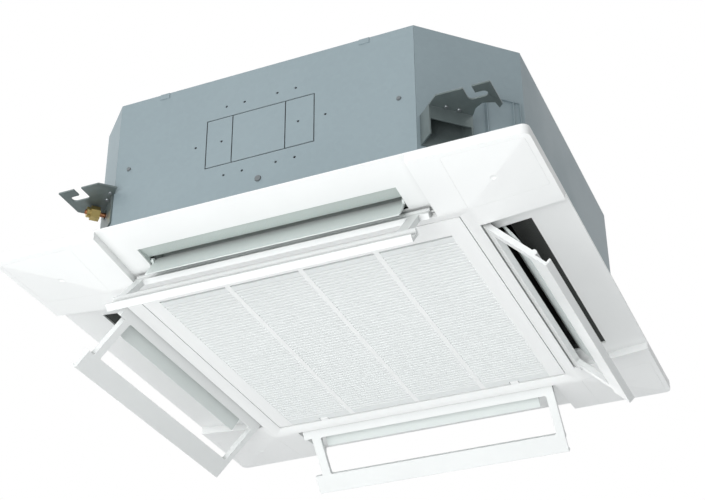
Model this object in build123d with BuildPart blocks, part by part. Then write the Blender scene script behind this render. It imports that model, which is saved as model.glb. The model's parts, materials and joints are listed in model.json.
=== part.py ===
"""Four-way ceiling cassette air conditioner of the 600 mm grid size, in millimetres.

The origin is the centre of the decoration panel on the ceiling plane, and +Z points up into the
ceiling void. The front of the unit faces -Y. The air louvers and the draught frames stand open.
"""

import os
from math import cos, radians, sin, sqrt

from build123d import *

os.makedirs("parts", exist_ok=True)

# Decoration panel
PANEL = 700.0
PANEL_CORNER_R = 9.0
RIM_H = 13.0  # upright edge that shows below the ceiling
DOME_DROP = 9.0  # how far the underside falls from the rim to the flat
FLAT_HALF = 250.0  # half width of the lowest, flat part of the underside
SKIN = 2.5
GRILLE_OPENING = 452.0
RING_WALL = 3.0  # wall around the grille opening
STRIP_RISE = 4.0  # the strip around the grille rises again towards it

# Recesses that the draught frames close into, and the outlets in their floors
RECESS_HALF = 204.0
RECESS_DEPTH = 10.5
HINGE_TROUGH_Z = -10.5  # ceiling of the groove that the hinge bar turns in
RECESS_INNER = 243.5
OUTLET_HALF = 173.0
OUTLET_INNER = 253.0
OUTLET_OUTER = 299.0
DUCT_INNER = 236.0  # the same air way where it leaves the casing
DUCT_OUTER = 268.0
DUCT_WALL = 2.0

# Draught frames, one on each side
FRAME_HALF = 198.0
FRAME_T = 7.4
FRAME_ARM_W = 12.0
FRAME_DRIVE_ARM = (172.0, 186.0)  # the arm at the geared end, in from the bar's end
FRAME_BAR_W = 28.6
FRAME_PLATE_T = 4.0  # of the outer bar between its bead and its lip
FRAME_LIP_T = 3.0
FRAME_BEAD_R = 4.0
FRAME_BACK = 4.7  # from the hinge axis to the tops of bead and lip
FRAME_HINGE_W = 14.0  # strip along the hinge, as far as the window
FRAME_HINGE_OUT = 249.0
FRAME_HINGE_Z = -17.0
FRAME_PROUD = 1.2  # how far the shut frame stands out of the rim
FRAME_OPEN = {"front": 48.5, "right": 45.0, "back": 47.5, "left": 45.5}
FRAME_ROUND = 1.6
PIN_R = 1.5
PIN_BITE = 8.0  # length of a frame pin in its gear motor

# Air louvers
LOUVER_END_GAP = 3.0  # beside the end of the outlet
LOUVER_HALF = OUTLET_HALF - LOUVER_END_GAP
LOUVER_OUT = 264.0
LOUVER_Z = -4.2
LOUVER_DROP = 2.5  # from the shaft's axis to the blade
LOUVER_INNER = 10.0
LOUVER_OUTER = 34.0
LOUVER_EDGE_T = 1.4
LOUVER_BELLY = 1.6
LOUVER_OPEN = 56.0
LOUVER_SHAFT_R = 1.8
LOUVER_LUG_R = 3.4
LOUVER_LUG_T = 3.0
LOUVER_LUG_OUT = 1.2  # how far a lug stands out of the blade's end
SHAFT_BITE = 12.0  # length of a louver shaft in its gear motor

# Intake grille, filter, hinge and catches
GRILLE_GAP = 1.2
GRILLE_T = 8.0
GRILLE_FRONT_BORDER = 35.0
GRILLE_BACK_BORDER = 10.0
GRILLE_SIDE_BORDER = 22.0
BAYS = 4
BAY_RIB = 7.0
SLOT_PITCH = 7.0
SLOT_W = 3.4
SLOT_LEAN = 6.0  # how far a slot leans forward through the grille's thickness
VENT_W = 4.0
GRILLE_PIN_R = 2.0
GRILLE_PIN_X = 150.0
GRILLE_PIN_L = 26.0
LUG_W = 12.0
LUG_GAP = 1.0
FILTER_T = 4.0
FILTER_BORDER = 9.0
FILTER_MESH_T = 1.0
CATCH_X = 120.0
CATCH_W = 27.0
CATCH_L = 11.0
CATCH_TRAVEL = 6.0  # back, to free the grille
CATCH_LOCK = 4.0  # forward, into the ring wall
CATCH_PLATE_W = 20.0
CATCH_PLATE_T = 3.0
CATCH_CLEAR = 0.3  # from the bolt's end to the ring wall when the catch is free
CATCH_FROM_EDGE = 9.0

# Corner covers and panel screws
COVER_FROM = 243.0
COVER_MARGIN = 7.0
COVER_T = 2.2
COVER_SEAM = 0.15
DIMPLE_AT = 289.0
DIMPLE_R = 11.0
DIMPLE_DEPTH = 1.1
SCREW_AT = 251.0
SCREW_R = 2.0
SCREW_HEAD_R = 4.5
SCREW_HEAD_T = 3.0
SCREW_TOP = 12.0
SCREW_SEAT = -12.0
BOSS_R = 8.0

# Casing
CASING_X = 580.0
CASING_Y = 570.0
CASING_CENTRE = (12.0, 2.0)
CASING_BASE = 6.0
CASING_TOP = 243.0
SHEET = 1.2
FLANGE_W = 8.0
SHEET_SEAM = 0.2  # between the casing's four folded sheets
EAR = 56.0
CHAMFER = {"front_right": 106.0, "back_right": 45.0, "back_left": 53.0, "front_left": 53.0}
LINER_T = 8.0
ROOF_LINER_T = 12.0
ROOF_RIB_H = 1.5
ROOF_RIB_L = 120.0
TAB_W = 14.0
TAB_H = 8.0
TAB_T = 0.8
TAB_X = (-159.0, 129.0)

# Branch duct knock-out in the front wall, with its screw holes
KNOCKOUT_X = -16.0
KNOCKOUT_Z = 140.0
KNOCKOUT_W = 152.0
KNOCKOUT_H = 74.0
KNOCKOUT_SPLITS = (-39.0, 36.0)
KNOCKOUT_GAP = 1.4
KNOCKOUT_HOLE_R = 1.7
KNOCKOUT_HOLE_X = (-49.0, -23.0, 24.0, 50.0)
KNOCKOUT_HOLE_UP = 54.0
KNOCKOUT_SIDE_HOLE_X = 91.5
KNOCKOUT_INNER_HOLE_X = 54.0
WALL_SCREW_X = 190.0
WALL_SCREW_Z = 134.0
WALL_SCREW_R = 3.2
BIG_SCREW_Z = 67.5
BIG_SCREW_R = 4.6
SCREW_DOME = 1.6

# Hanger brackets
HANGER_PITCH_X = 562.0
HANGER_PITCH_Y = 586.0
HANGER_CENTRE_X = 4.0
HANGER_Z = 100.0
HANGER_T = 2.3
HANGER_SLOT_W = 11.0
HANGER_SLOT_L = 14.0
HANGER_EDGE_X = 14.5
HANGER_EDGE_Y = 19.0
HANGER_SIDE = {  # lengths of the plate's straight edges along X and Y
    "front_right": (68.0, 47.0),
    "back_right": (58.0, 40.0),
    "back_left": (68.0, 47.0),
    "front_left": (60.0, 47.0),
}
HANGER_NECK = {  # points of the waisted edge beside the rod slot
    "front_right": ((294.0, -259.0), (292.2, -271.5), (278.0, -276.5), (267.0, -269.5), (260.0, -258.0)),
}
HANGER_SKIRT_H = 42.0
HANGER_SKIRT_MARGIN = 3.0
HANGER_STANDOFF = {"front_right": 26.0}
HANGER_LIP_H = 18.0
RIVET_R = 3.0
RIVET_H = 1.4
RIVET_BACK = 40.0
RIVET_SHIFTS = (-30.0, -13.0)

# Drain pan and bell mouth
PAN_TOP = 62.0
PAN_OPENING = 372.0
PAN_CORNER_R = 30.0
PAN_LEDGE = 360.0
PAN_LEDGE_Z = 50.0
TROUGH_INNER = 194.0
TROUGH_OUTER = 231.0
TROUGH_FLOOR = 30.0
SUMP_FLOOR = 22.0
SUMP_FROM = 205.0
SUMP_MARGIN = 9.0
BELL_T = 2.5
BELL_FIT = 0.4
BELL_MOUTH_R = 148.0
BELL_THROAT_R = 112.0
BELL_LIP_H = 12.0

# Coil
COIL_OUTER = 226.0
COIL_DEPTH = 30.0
COIL_BEND_R = 60.0
COIL_TOP = 226.0
COIL_GAP_FROM = 150.0
BEND_TUBE_R = 3.5
BEND_PITCH = 21.0
BEND_COUNT = 4
BEND_COLUMNS = (204.0, 218.0)

# Fan and motor
FAN_R = 155.0
FAN_T = 2.5
FAN_INLET_GAP = 2.5
SHROUD_BASE = 90.0
SHROUD_CURVE = 38.0
FAN_BACK_TOP = 214.0
FAN_BACK_T = 3.0
CUP_R = 71.0
CUP_WALL = 3.0
CUP_FLOOR = 147.0
HUB_R = 14.0
HUB_BASE = 135.0
BLADES = 7
BLADE_T = 3.2
BLADE_INNER_R = 88.0
BLADE_OUTER_R = 152.0
BLADE_SWEEP = 38.0
MOTOR_R = 50.0
MOTOR_BASE = 160.0
MOTOR_TOP = 225.0
MOTOR_FLANGE_R = 64.0
MOTOR_FLANGE_T = 3.0
SHAFT_R = 4.0
SHAFT_TOP = 205.0
SHAFT_END = 126.0
SHAFT_FIT = 0.02
RUNNING_FIT = 0.05
NUT_AF = 13.0
NUT_T = 6.5
BUSH_R = 7.0
BUSH_AT = 56.0
MOTOR_PLATE = 150.0
MOTOR_PLATE_T = 2.0
ROOF_WINDOW = 170.0

# Pipes
GAS_R = 6.35
LIQUID_R = 3.2
PIPE_BORE_WALL = 1.0
GAS_Z = 40.0
LIQUID_Z = 89.0
PIPE_IN = 34.0
PIPE_OUT = 12.0
GAS_NUT_AF = 24.0
LIQUID_NUT_AF = 17.0
NUT_L = 17.0
NUT_STANDOFF = 10.0
PIPE_HOLE_GAP = 3.0

# Drain pump, float switch and drain socket
PUMP_X, PUMP_Y = 234.0, 232.0
PUMP_CHAMBER_R = 18.0
PUMP_WALL = 2.5
PUMP_CHAMBER_BASE = 24.0
PUMP_CHAMBER_TOP = 58.0
PUMP_COLUMN_R = 9.0
PUMP_MOTOR_R = 22.0
PUMP_MOTOR_BASE = 96.0
PUMP_MOTOR_TOP = 142.0
IMPELLER_R = 13.5
IMPELLER_T = 2.0
IMPELLER_BLADE_H = 8.0
IMPELLER_BASE = 30.0
IMPELLER_SHAFT_R = 2.0
RISER_X, RISER_Y = 234.5, 266.5
RISER_R = 11.0
RISER_BASE = 66.0
DRAIN_Z = 195.0
DRAIN_R = 13.0  # of the hose socket outside the wall
DRAIN_TUBE_R = 12.0
DRAIN_WALL = 2.5
DRAIN_OUT = 34.0
FLOAT_X, FLOAT_Y = 214.0, 262.0
FLOAT_R = 9.0
FLOAT_H = 10.0
FLOAT_BASE = 30.0
FLOAT_TRAVEL = 8.0
STEM_R = 3.0
STEM_BASE = 25.0

# Control box under the bell mouth
BOX_W = 300.0
BOX_Y0, BOX_Y1 = -184.0, -120.0
BOX_BASE = 10.0
BOX_SHEET = 1.2
BOARD_Z = 30.0
BOARD_T = 1.6
BOARD_MARGIN = 6.0
TERMINALS_X = 100.0

# Service plate beside the front right bracket
SERVICE_X0, SERVICE_X1 = 20.0, 68.0
SERVICE_BASE = 12.0
SERVICE_TOP = 157.0
SERVICE_LIP = 3.0
SERVICE_RIB_X = 58.0
GROMMET_X, GROMMET_Z = 40.0, 60.0
GROMMET_R = 13.0
GROMMET_HOLE_R = 6.0
GROMMET_T = 5.0

# Gear motors in the panel
MOTOR_GAP = 0.5  # between a gear motor and the wall beside it
LOUVER_MOTOR = (16.0, 5.2, 20.0)  # across the side, high, along the side
FRAME_MOTOR_L = 18.0
FRAME_MOTOR_OUT = (242.0, 256.0)
FRAME_MOTOR_Z = (-18.9, -8.0)

SIDES = {"front": (0, -1), "right": (1, 0), "back": (0, 1), "left": (-1, 0)}
CORNERS = {"front_right": (1, -1), "back_right": (1, 1), "back_left": (-1, 1), "front_left": (-1, -1)}

UNDER_Z = -(RIM_H + DOME_DROP)
GRILLE_FACE_Z = UNDER_Z + STRIP_RISE
GRILLE_TOP_Z = GRILLE_FACE_Z + GRILLE_T
DOME_SLOPE = DOME_DROP / (PANEL / 2 - FLAT_HALF)
STRIP_OUTER = RECESS_INNER - SKIN
GROOVE_OUTER = 2 * FRAME_HINGE_OUT - RECESS_INNER
RING_HALF = GRILLE_OPENING / 2 + RING_WALL
GRILLE_HALF = GRILLE_OPENING / 2 - GRILLE_GAP
FAR = 2 * PANEL  # beyond everything, for cuts


def save(part, name):
    """Label one finished piece and write it."""
    part.label = name
    export_step(part, f"parts/{name}.step")


def under(out):
    """Height of the panel's underside at a distance from the centre, beyond the flat."""
    return UNDER_Z + DOME_SLOPE * (out - FLAT_HALF)


def side_plane(side, out=0.0, height=0.0, tilt=0.0):
    """Section plane of a side: x outwards and tilt degrees down, y up, z along the side."""
    outward = Vector(*SIDES[side], 0)
    up = Vector(0, 0, 1)
    x_dir = outward * cos(radians(tilt)) - up * sin(radians(tilt))
    return Plane(origin=outward * out + up * height, x_dir=x_dir, z_dir=outward.cross(up))


def chamfer_plane(corner, out=0.0):
    """Face of a casing corner: x along it, y up, z outwards, with its middle at the origin."""
    sx, sy = CORNERS[corner]
    normal = Vector(sx, sy, 0) / sqrt(2)
    cut = CHAMFER[corner] / 2
    x = CASING_CENTRE[0] + sx * (CASING_X / 2 - cut)
    y = CASING_CENTRE[1] + sy * (CASING_Y / 2 - cut)
    middle = Vector(x, y, 0)
    return Plane(origin=middle + normal * out, x_dir=Vector(0, 0, 1).cross(normal), z_dir=normal)


def back_plane(out=0.0):
    """Back face of the casing, or a plane parallel to it: x to the left, y up, z outwards."""
    back = CASING_CENTRE[1] + CASING_Y / 2 + out
    return Plane(origin=(0, back, 0), x_dir=(-1, 0, 0), z_dir=(0, 1, 0))


def casing_outline(inset=0.0):
    """Corner points of the casing's eight-sided outline, moved inwards by inset."""
    half_x = CASING_X / 2 - inset
    half_y = CASING_Y / 2 - inset
    points = []
    for corner, (sx, sy) in CORNERS.items():
        cut = CHAMFER[corner] - inset * (2 - sqrt(2))
        pair = [(sx * (half_x - cut), sy * half_y), (sx * half_x, sy * (half_y - cut))]
        if sx * sy > 0:
            pair.reverse()
        points += pair
    return [(x + CASING_CENTRE[0], y + CASING_CENTRE[1]) for x, y in points]


def casing_prism(inset, base, top):
    """Solid of the casing's outline between two heights."""
    with BuildPart() as prism:
        with BuildSketch(Plane.XY.offset(base)):
            Polygon(*casing_outline(inset), align=None)
        extrude(amount=top - base)
    return prism.part


def square_prism(half, base, top):
    """Square block about the centre line."""
    with BuildPart() as prism:
        with BuildSketch(Plane.XY.offset(base)):
            Rectangle(2 * half, 2 * half)
        extrude(amount=top - base)
    return prism.part


def domed_block(lift, inset=0.0):
    """Everything inside the panel's outline and above its underside raised by lift."""
    with BuildPart() as block:
        with BuildSketch(Plane.XY.offset(UNDER_Z + lift)):
            RectangleRounded(PANEL - 2 * inset, PANEL - 2 * inset, PANEL_CORNER_R - inset)
        extrude(amount=-UNDER_Z - lift)
        for side in SIDES:
            with BuildSketch(side_plane(side)):
                Polygon(
                    (FLAT_HALF, UNDER_Z + lift),
                    (PANEL, under(PANEL) + lift),
                    (PANEL, UNDER_Z - PANEL),
                    (FLAT_HALF, UNDER_Z - PANEL),
                    align=None,
                )
            extrude(amount=PANEL, both=True, mode=Mode.SUBTRACT)
    return block.part


def air_ways(base, top, inner=DUCT_INNER, outer=DUCT_OUTER):
    """Four upright blocks where the air ways run, to be cut from a part."""
    with BuildPart() as blocks:
        for side in SIDES:
            with BuildSketch(side_plane(side)):
                with Locations(((inner + outer) / 2, (base + top) / 2)):
                    Rectangle(outer - inner, top - base)
            extrude(amount=OUTLET_HALF, both=True)
    return blocks.part


# --- Casing ---------------------------------------------------------------------------------


def sheet_block(outward, grow=0.0):
    """Block around the casing's flat front (-1) or back (1) sheet, larger by grow."""
    names = ("back_left", "back_right") if outward > 0 else ("front_left", "front_right")
    left = CASING_CENTRE[0] - CASING_X / 2 + CHAMFER[names[0]] - grow
    right = CASING_CENTRE[0] + CASING_X / 2 - CHAMFER[names[1]] + grow
    depth = FLANGE_W + SHEET_SEAM + grow
    middle = CASING_CENTRE[1] + outward * (CASING_Y / 2 - depth / 2)
    with BuildPart() as block:
        with BuildSketch(Plane.XY):
            with Locations(((left + right) / 2, middle)):
                Rectangle(right - left, depth)
        extrude(amount=CASING_TOP)
    return block.part


def make_casing_wall():
    """Four folded sheets with a bottom flange, ears for the panel screws, and their holes."""
    with BuildPart() as wall:
        add(casing_prism(0, CASING_BASE, CASING_TOP - SHEET))
        add(casing_prism(SHEET, CASING_BASE + SHEET, CASING_TOP), mode=Mode.SUBTRACT)
        add(casing_prism(FLANGE_W, 0, CASING_TOP), mode=Mode.SUBTRACT)
        with BuildSketch(Plane.XY.offset(CASING_BASE)):
            with GridLocations(2 * SCREW_AT, 2 * SCREW_AT, 2, 2):
                Rectangle(EAR, EAR)
        extrude(amount=SHEET)
        with Locations((0, 0, CASING_BASE)):
            with GridLocations(2 * SCREW_AT, 2 * SCREW_AT, 2, 2):
                Cylinder(SCREW_R + RUNNING_FIT, 4 * SHEET, mode=Mode.SUBTRACT)
        front = Plane(origin=(0, CASING_CENTRE[1] - CASING_Y / 2, 0), x_dir=(1, 0, 0), z_dir=(0, -1, 0))
        with BuildSketch(front):
            with Locations((KNOCKOUT_X, KNOCKOUT_Z)):
                Rectangle(KNOCKOUT_W + KNOCKOUT_GAP, KNOCKOUT_H + KNOCKOUT_GAP)
            for x in KNOCKOUT_HOLE_X:
                with Locations((KNOCKOUT_X + x, KNOCKOUT_Z)):
                    with GridLocations(0, 2 * KNOCKOUT_HOLE_UP, 1, 2):
                        Circle(KNOCKOUT_HOLE_R)
            with Locations((KNOCKOUT_X, KNOCKOUT_Z)):
                with GridLocations(2 * KNOCKOUT_SIDE_HOLE_X, 0, 2, 1):
                    Circle(KNOCKOUT_HOLE_R)
        extrude(amount=-2 * SHEET, mode=Mode.SUBTRACT)
        with BuildSketch(chamfer_plane("front_left")):
            with Locations((0, GAS_Z)):
                Circle(GAS_R + PIPE_HOLE_GAP)
            with Locations((0, LIQUID_Z)):
                Circle(LIQUID_R + PIPE_HOLE_GAP)
        extrude(amount=-3 * SHEET, mode=Mode.SUBTRACT)
        with BuildSketch(back_plane()):
            with Locations((-RISER_X, DRAIN_Z)):
                Circle(DRAIN_TUBE_R + RUNNING_FIT)
        extrude(amount=-3 * SHEET, mode=Mode.SUBTRACT)
        with BuildSketch(chamfer_plane("front_right")):
            with Locations((GROMMET_X, GROMMET_Z)):
                Circle(GROMMET_R - GROMMET_T / 2)
        extrude(amount=-3 * SHEET, mode=Mode.SUBTRACT)
    with BuildPart() as sheets:
        add(wall.part)
        add(sheet_block(-1, SHEET_SEAM), mode=Mode.SUBTRACT)
        add(sheet_block(1, SHEET_SEAM), mode=Mode.SUBTRACT)
        for outward in (-1, 1):
            with BuildPart(mode=Mode.PRIVATE) as sheet:
                add(wall.part)
                add(sheet_block(outward), mode=Mode.INTERSECT)
            add(sheet.part)
    save(sheets.part, "casing_wall")


def make_duct_knockout():
    """Three loose plates of the branch duct opening, flush with the front wall."""
    front = Plane(origin=(0, CASING_CENTRE[1] - CASING_Y / 2, 0), x_dir=(1, 0, 0), z_dir=(0, -1, 0))
    edges = [-KNOCKOUT_W / 2, *KNOCKOUT_SPLITS, KNOCKOUT_W / 2]
    with BuildPart() as plates:
        with BuildSketch(front):
            for left, right in zip(edges, edges[1:]):
                with Locations((KNOCKOUT_X + (left + right) / 2, KNOCKOUT_Z)):
                    Rectangle(right - left - KNOCKOUT_GAP, KNOCKOUT_H - KNOCKOUT_GAP)
            with Locations((KNOCKOUT_X, KNOCKOUT_Z)):
                with GridLocations(2 * KNOCKOUT_INNER_HOLE_X, 0, 2, 1):
                    Circle(KNOCKOUT_HOLE_R, mode=Mode.SUBTRACT)
        extrude(amount=-SHEET)
    save(plates.part, "duct_knockout")


def make_casing_top():
    """Roof sheet with pressed ribs and the tabs that fold over the wall."""
    with BuildPart() as roof:
        add(casing_prism(0, CASING_TOP - SHEET, CASING_TOP))
        with BuildSketch(Plane.XY.offset(CASING_TOP)):
            with Locations(CASING_CENTRE):
                Circle(MOTOR_PLATE / 2 + 32)
                Circle(MOTOR_PLATE / 2 + 24, mode=Mode.SUBTRACT)
            with Locations(CASING_CENTRE):
                with PolarLocations(CASING_Y / 2 - 90, 4, 45):
                    SlotOverall(ROOF_RIB_L, 14)
        extrude(amount=ROOF_RIB_H)
        for side, half in (("front", CASING_Y / 2), ("back", CASING_Y / 2)):
            outward = SIDES[side][1]
            with BuildSketch(Plane.XY.offset(CASING_TOP - TAB_H)):
                for x in TAB_X:
                    with Locations((x, CASING_CENTRE[1] + outward * (half + TAB_T / 2))):
                        Rectangle(TAB_W, TAB_T)
            extrude(amount=TAB_H)
    save(roof.part, "casing_top")


def make_foam_liner():
    """Foam inside the wall and under the roof."""
    inner = SHEET + LINER_T
    roof_base = CASING_TOP - SHEET - ROOF_LINER_T
    with BuildPart() as liner:
        add(casing_prism(SHEET, PAN_TOP, CASING_TOP - SHEET))
        add(casing_prism(inner, PAN_TOP, roof_base), mode=Mode.SUBTRACT)
        with BuildSketch(Plane.XY.offset(roof_base)):
            Rectangle(ROOF_WINDOW, ROOF_WINDOW)
        extrude(amount=ROOF_LINER_T, mode=Mode.SUBTRACT)
        with BuildSketch(chamfer_plane("front_left")):
            with Locations((0, LIQUID_Z)):
                Circle(LIQUID_R + PIPE_HOLE_GAP)
        extrude(amount=-PIPE_IN, mode=Mode.SUBTRACT)
        with BuildSketch(back_plane()):
            with Locations((-RISER_X, DRAIN_Z)):
                Circle(DRAIN_R + PIPE_HOLE_GAP)
        extrude(amount=-SHEET - LINER_T, mode=Mode.SUBTRACT)
    save(liner.part, "foam_liner")


def make_casing_screws():
    """Domed screw heads on the four walls."""
    x0, y0 = CASING_CENTRE
    with BuildPart() as screws:
        for side, (ox, oy) in SIDES.items():
            reach = CASING_Y / 2 + oy * y0 if oy else CASING_X / 2 + ox * x0
            wall = Plane(origin=(ox * reach, oy * reach, 0), x_dir=(-oy, ox, 0), z_dir=(ox, oy, 0))
            heads = [(-WALL_SCREW_X, WALL_SCREW_Z, WALL_SCREW_R), (WALL_SCREW_X, WALL_SCREW_Z, WALL_SCREW_R)]
            if side != "left":
                heads.append((0, BIG_SCREW_Z, BIG_SCREW_R))
            if side == "front":
                heads = [(x + KNOCKOUT_X, z, r) for x, z, r in heads]
            for x, z, r in heads:
                if side == "right" and x < 0:
                    continue  # the cut corner leaves no wall here
                with BuildSketch(wall):
                    with Locations((x, z)):
                        Circle(r)
                extrude(amount=SCREW_DOME, taper=25)
    save(screws.part, "casing_screws")


def make_service_plate():
    """Cover plate with folded edges on the front right corner of the casing."""
    with BuildPart() as plate:
        with BuildSketch(chamfer_plane("front_right")):
            with Locations(((SERVICE_X0 + SERVICE_X1) / 2, (SERVICE_BASE + SERVICE_TOP) / 2)):
                Rectangle(SERVICE_X1 - SERVICE_X0, SERVICE_TOP - SERVICE_BASE)
        extrude(amount=SHEET)
        with BuildSketch(chamfer_plane("front_right", SHEET)):
            for x in (SERVICE_X0 + SHEET / 2, SERVICE_RIB_X, SERVICE_X1 - SHEET / 2):
                with Locations((x, (SERVICE_BASE + SERVICE_TOP) / 2)):
                    Rectangle(SHEET, SERVICE_TOP - SERVICE_BASE)
            with Locations(((SERVICE_X0 + SERVICE_X1) / 2, SERVICE_TOP - SHEET / 2)):
                Rectangle(SERVICE_X1 - SERVICE_X0, SHEET)
        extrude(amount=SERVICE_LIP)
        with BuildSketch(chamfer_plane("front_right")):
            with Locations((GROMMET_X, GROMMET_Z)):
                Circle(GROMMET_R - GROMMET_T / 2)
        extrude(amount=SHEET, mode=Mode.SUBTRACT)
    save(plate.part, "service_plate")


def make_cable_grommet():
    """Rubber ring in the service plate, where the wiring enters."""
    with BuildPart() as grommet:
        with BuildSketch(chamfer_plane("front_right", -SHEET)):
            with Locations((GROMMET_X, GROMMET_Z)):
                Circle(GROMMET_R - GROMMET_T / 2)
        extrude(amount=2 * SHEET)
        with BuildSketch(chamfer_plane("front_right", SHEET)):
            with Locations((GROMMET_X, GROMMET_Z)):
                Circle(GROMMET_R)
        extrude(amount=GROMMET_T / 2)
        with BuildSketch(chamfer_plane("front_right", -SHEET)):
            with Locations((GROMMET_X, GROMMET_Z)):
                Circle(GROMMET_HOLE_R)
        extrude(amount=2 * SHEET + GROMMET_T, mode=Mode.SUBTRACT)
    save(grommet.part, "cable_grommet")


# --- Hanger brackets ------------------------------------------------------------------------


def hanger_bolt(corner):
    """Centre of the threaded rod that a bracket hangs from, as x and y."""
    sx, sy = CORNERS[corner]
    return HANGER_CENTRE_X + sx * HANGER_PITCH_X / 2, sy * HANGER_PITCH_Y / 2


def chamfer_reach(corner, x, y):
    """Distance of a point outside the face of a casing corner."""
    return (Vector(x, y, 0) - chamfer_plane(corner).origin).dot(chamfer_plane(corner).z_dir)


def make_hanger_bracket(corner):
    """Flat plate with an L-shaped slot, a skirt against the casing and, in front, a stand-off."""
    sx, sy = CORNERS[corner]
    bolt_x, bolt_y = hanger_bolt(corner)
    edge_x = bolt_x + sx * HANGER_EDGE_X
    edge_y = bolt_y + sy * HANGER_EDGE_Y
    side_x, side_y = HANGER_SIDE[corner]
    ends = [(edge_x, edge_y - sy * side_y), (edge_x - sx * side_x, edge_y)]
    neck = HANGER_NECK.get(corner, ())
    feet = []
    for x, y in ((ends[0], *neck)[-1], ends[1]):
        run = chamfer_reach(corner, x, y) / sqrt(2)
        feet.append((x - sx * run, y - sy * run))
    mouth = HANGER_EDGE_Y + HANGER_SLOT_W
    skirt_w = CHAMFER[corner] * sqrt(2) - 2 * HANGER_SKIRT_MARGIN
    standoff = HANGER_STANDOFF.get(corner, 0.0)
    face = chamfer_plane(corner)
    along = [face.to_local_coords(Vector(x, y, 0)).X for x, y in feet]
    low = max(min(along), -skirt_w / 2)
    high = min(max(along), skirt_w / 2)
    with BuildPart() as bracket:
        with BuildSketch(Plane.XY.offset(HANGER_Z)):
            Polygon((edge_x, edge_y), ends[0], *neck, feet[0], feet[1], ends[1], align=None)
            with Locations((bolt_x - sx * HANGER_SLOT_L / 2, bolt_y)):
                SlotCenterToCenter(HANGER_SLOT_L, HANGER_SLOT_W, mode=Mode.SUBTRACT)
            with Locations((bolt_x - sx * HANGER_SLOT_L, bolt_y + sy * mouth / 2)):
                Rectangle(HANGER_SLOT_W, mouth, mode=Mode.SUBTRACT)
        extrude(amount=HANGER_T)
        with BuildSketch(face):
            with Locations(((low + high) / 2, HANGER_Z - HANGER_SKIRT_H / 2)):
                Rectangle(high - low, HANGER_SKIRT_H)
            if corner == "front_left":
                with Locations((0, LIQUID_Z)):
                    Circle(LIQUID_R + PIPE_HOLE_GAP, mode=Mode.SUBTRACT)
        extrude(amount=HANGER_T)
        if standoff:
            with BuildSketch(face):
                for x in (low + HANGER_T / 2, high - HANGER_T / 2):
                    with Locations((x, HANGER_Z - HANGER_SKIRT_H / 2)):
                        Rectangle(HANGER_T, HANGER_SKIRT_H)
            extrude(amount=standoff)
            with BuildSketch(chamfer_plane(corner, standoff - HANGER_T)):
                with Locations(((low + high) / 2, HANGER_Z - HANGER_LIP_H / 2)):
                    Rectangle(high - low, HANGER_LIP_H)
            extrude(amount=HANGER_T)
    save(bracket.part, f"hanger_bracket_{corner}")


def make_bracket_rivets():
    """Two rivet heads under each bracket plate."""
    with BuildPart() as rivets:
        for corner, (sx, sy) in CORNERS.items():
            bolt_x, bolt_y = hanger_bolt(corner)
            back = min(RIVET_BACK, chamfer_reach(corner, bolt_x, bolt_y) - RIVET_R - HANGER_T)
            for shift in RIVET_SHIFTS:
                x = bolt_x + sx * (shift - back) / sqrt(2)
                y = bolt_y + sy * (-shift - back) / sqrt(2)
                with BuildSketch(Plane.XY.offset(HANGER_Z)):
                    with Locations((x, y)):
                        Circle(RIVET_R)
                extrude(amount=-RIVET_H, taper=30)
    save(rivets.part, "bracket_rivets")


# --- Drain pan, bell mouth and coil ---------------------------------------------------------


def make_drain_pan():
    """Foam pan with a water trough, a sump for the pump and four air ways."""
    base = CASING_BASE + SHEET
    sump = casing_prism(SHEET + SUMP_MARGIN, SUMP_FLOOR, PAN_TOP)
    with BuildPart() as corner:
        with BuildSketch(Plane.XY.offset(SUMP_FLOOR)):
            Rectangle(PANEL, PANEL, align=(Align.MIN, Align.MIN))
            Rectangle(PANEL, 2 * SUMP_FROM, align=(Align.MIN, Align.CENTER), mode=Mode.SUBTRACT)
            Rectangle(2 * SUMP_FROM, PANEL, align=(Align.CENTER, Align.MIN), mode=Mode.SUBTRACT)
        extrude(amount=PAN_TOP - SUMP_FLOOR)
        add(sump, mode=Mode.INTERSECT)
    with BuildPart() as pan:
        add(casing_prism(SHEET, base, PAN_TOP))
        with BuildSketch(Plane.XY.offset(base)):
            RectangleRounded(PAN_OPENING, PAN_OPENING, PAN_CORNER_R)
        extrude(amount=PAN_LEDGE_Z - base, mode=Mode.SUBTRACT)
        with BuildSketch(Plane.XY.offset(base)):
            RectangleRounded(PAN_LEDGE, PAN_LEDGE, PAN_CORNER_R)
        extrude(amount=PAN_TOP - base, mode=Mode.SUBTRACT)
        with BuildSketch(Plane.XY.offset(TROUGH_FLOOR)):
            Rectangle(2 * TROUGH_OUTER, 2 * TROUGH_OUTER)
            RectangleRounded(2 * TROUGH_INNER, 2 * TROUGH_INNER, PAN_CORNER_R, mode=Mode.SUBTRACT)
        extrude(amount=PAN_TOP - TROUGH_FLOOR, mode=Mode.SUBTRACT)
        add(corner.part, mode=Mode.SUBTRACT)
        add(air_ways(base, PAN_TOP), mode=Mode.SUBTRACT)
        with GridLocations(2 * SCREW_AT, 2 * SCREW_AT, 2, 2):
            with Locations((0, 0, base)):
                Cylinder(SCREW_HEAD_R, 2 * (SCREW_TOP - base) + SHEET, mode=Mode.SUBTRACT)
        with BuildSketch(chamfer_plane("front_left")):
            with Locations((0, GAS_Z)):
                Circle(GAS_R + PIPE_HOLE_GAP)
        extrude(amount=-PIPE_IN, mode=Mode.SUBTRACT)
    save(pan.part, "drain_pan")


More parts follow.
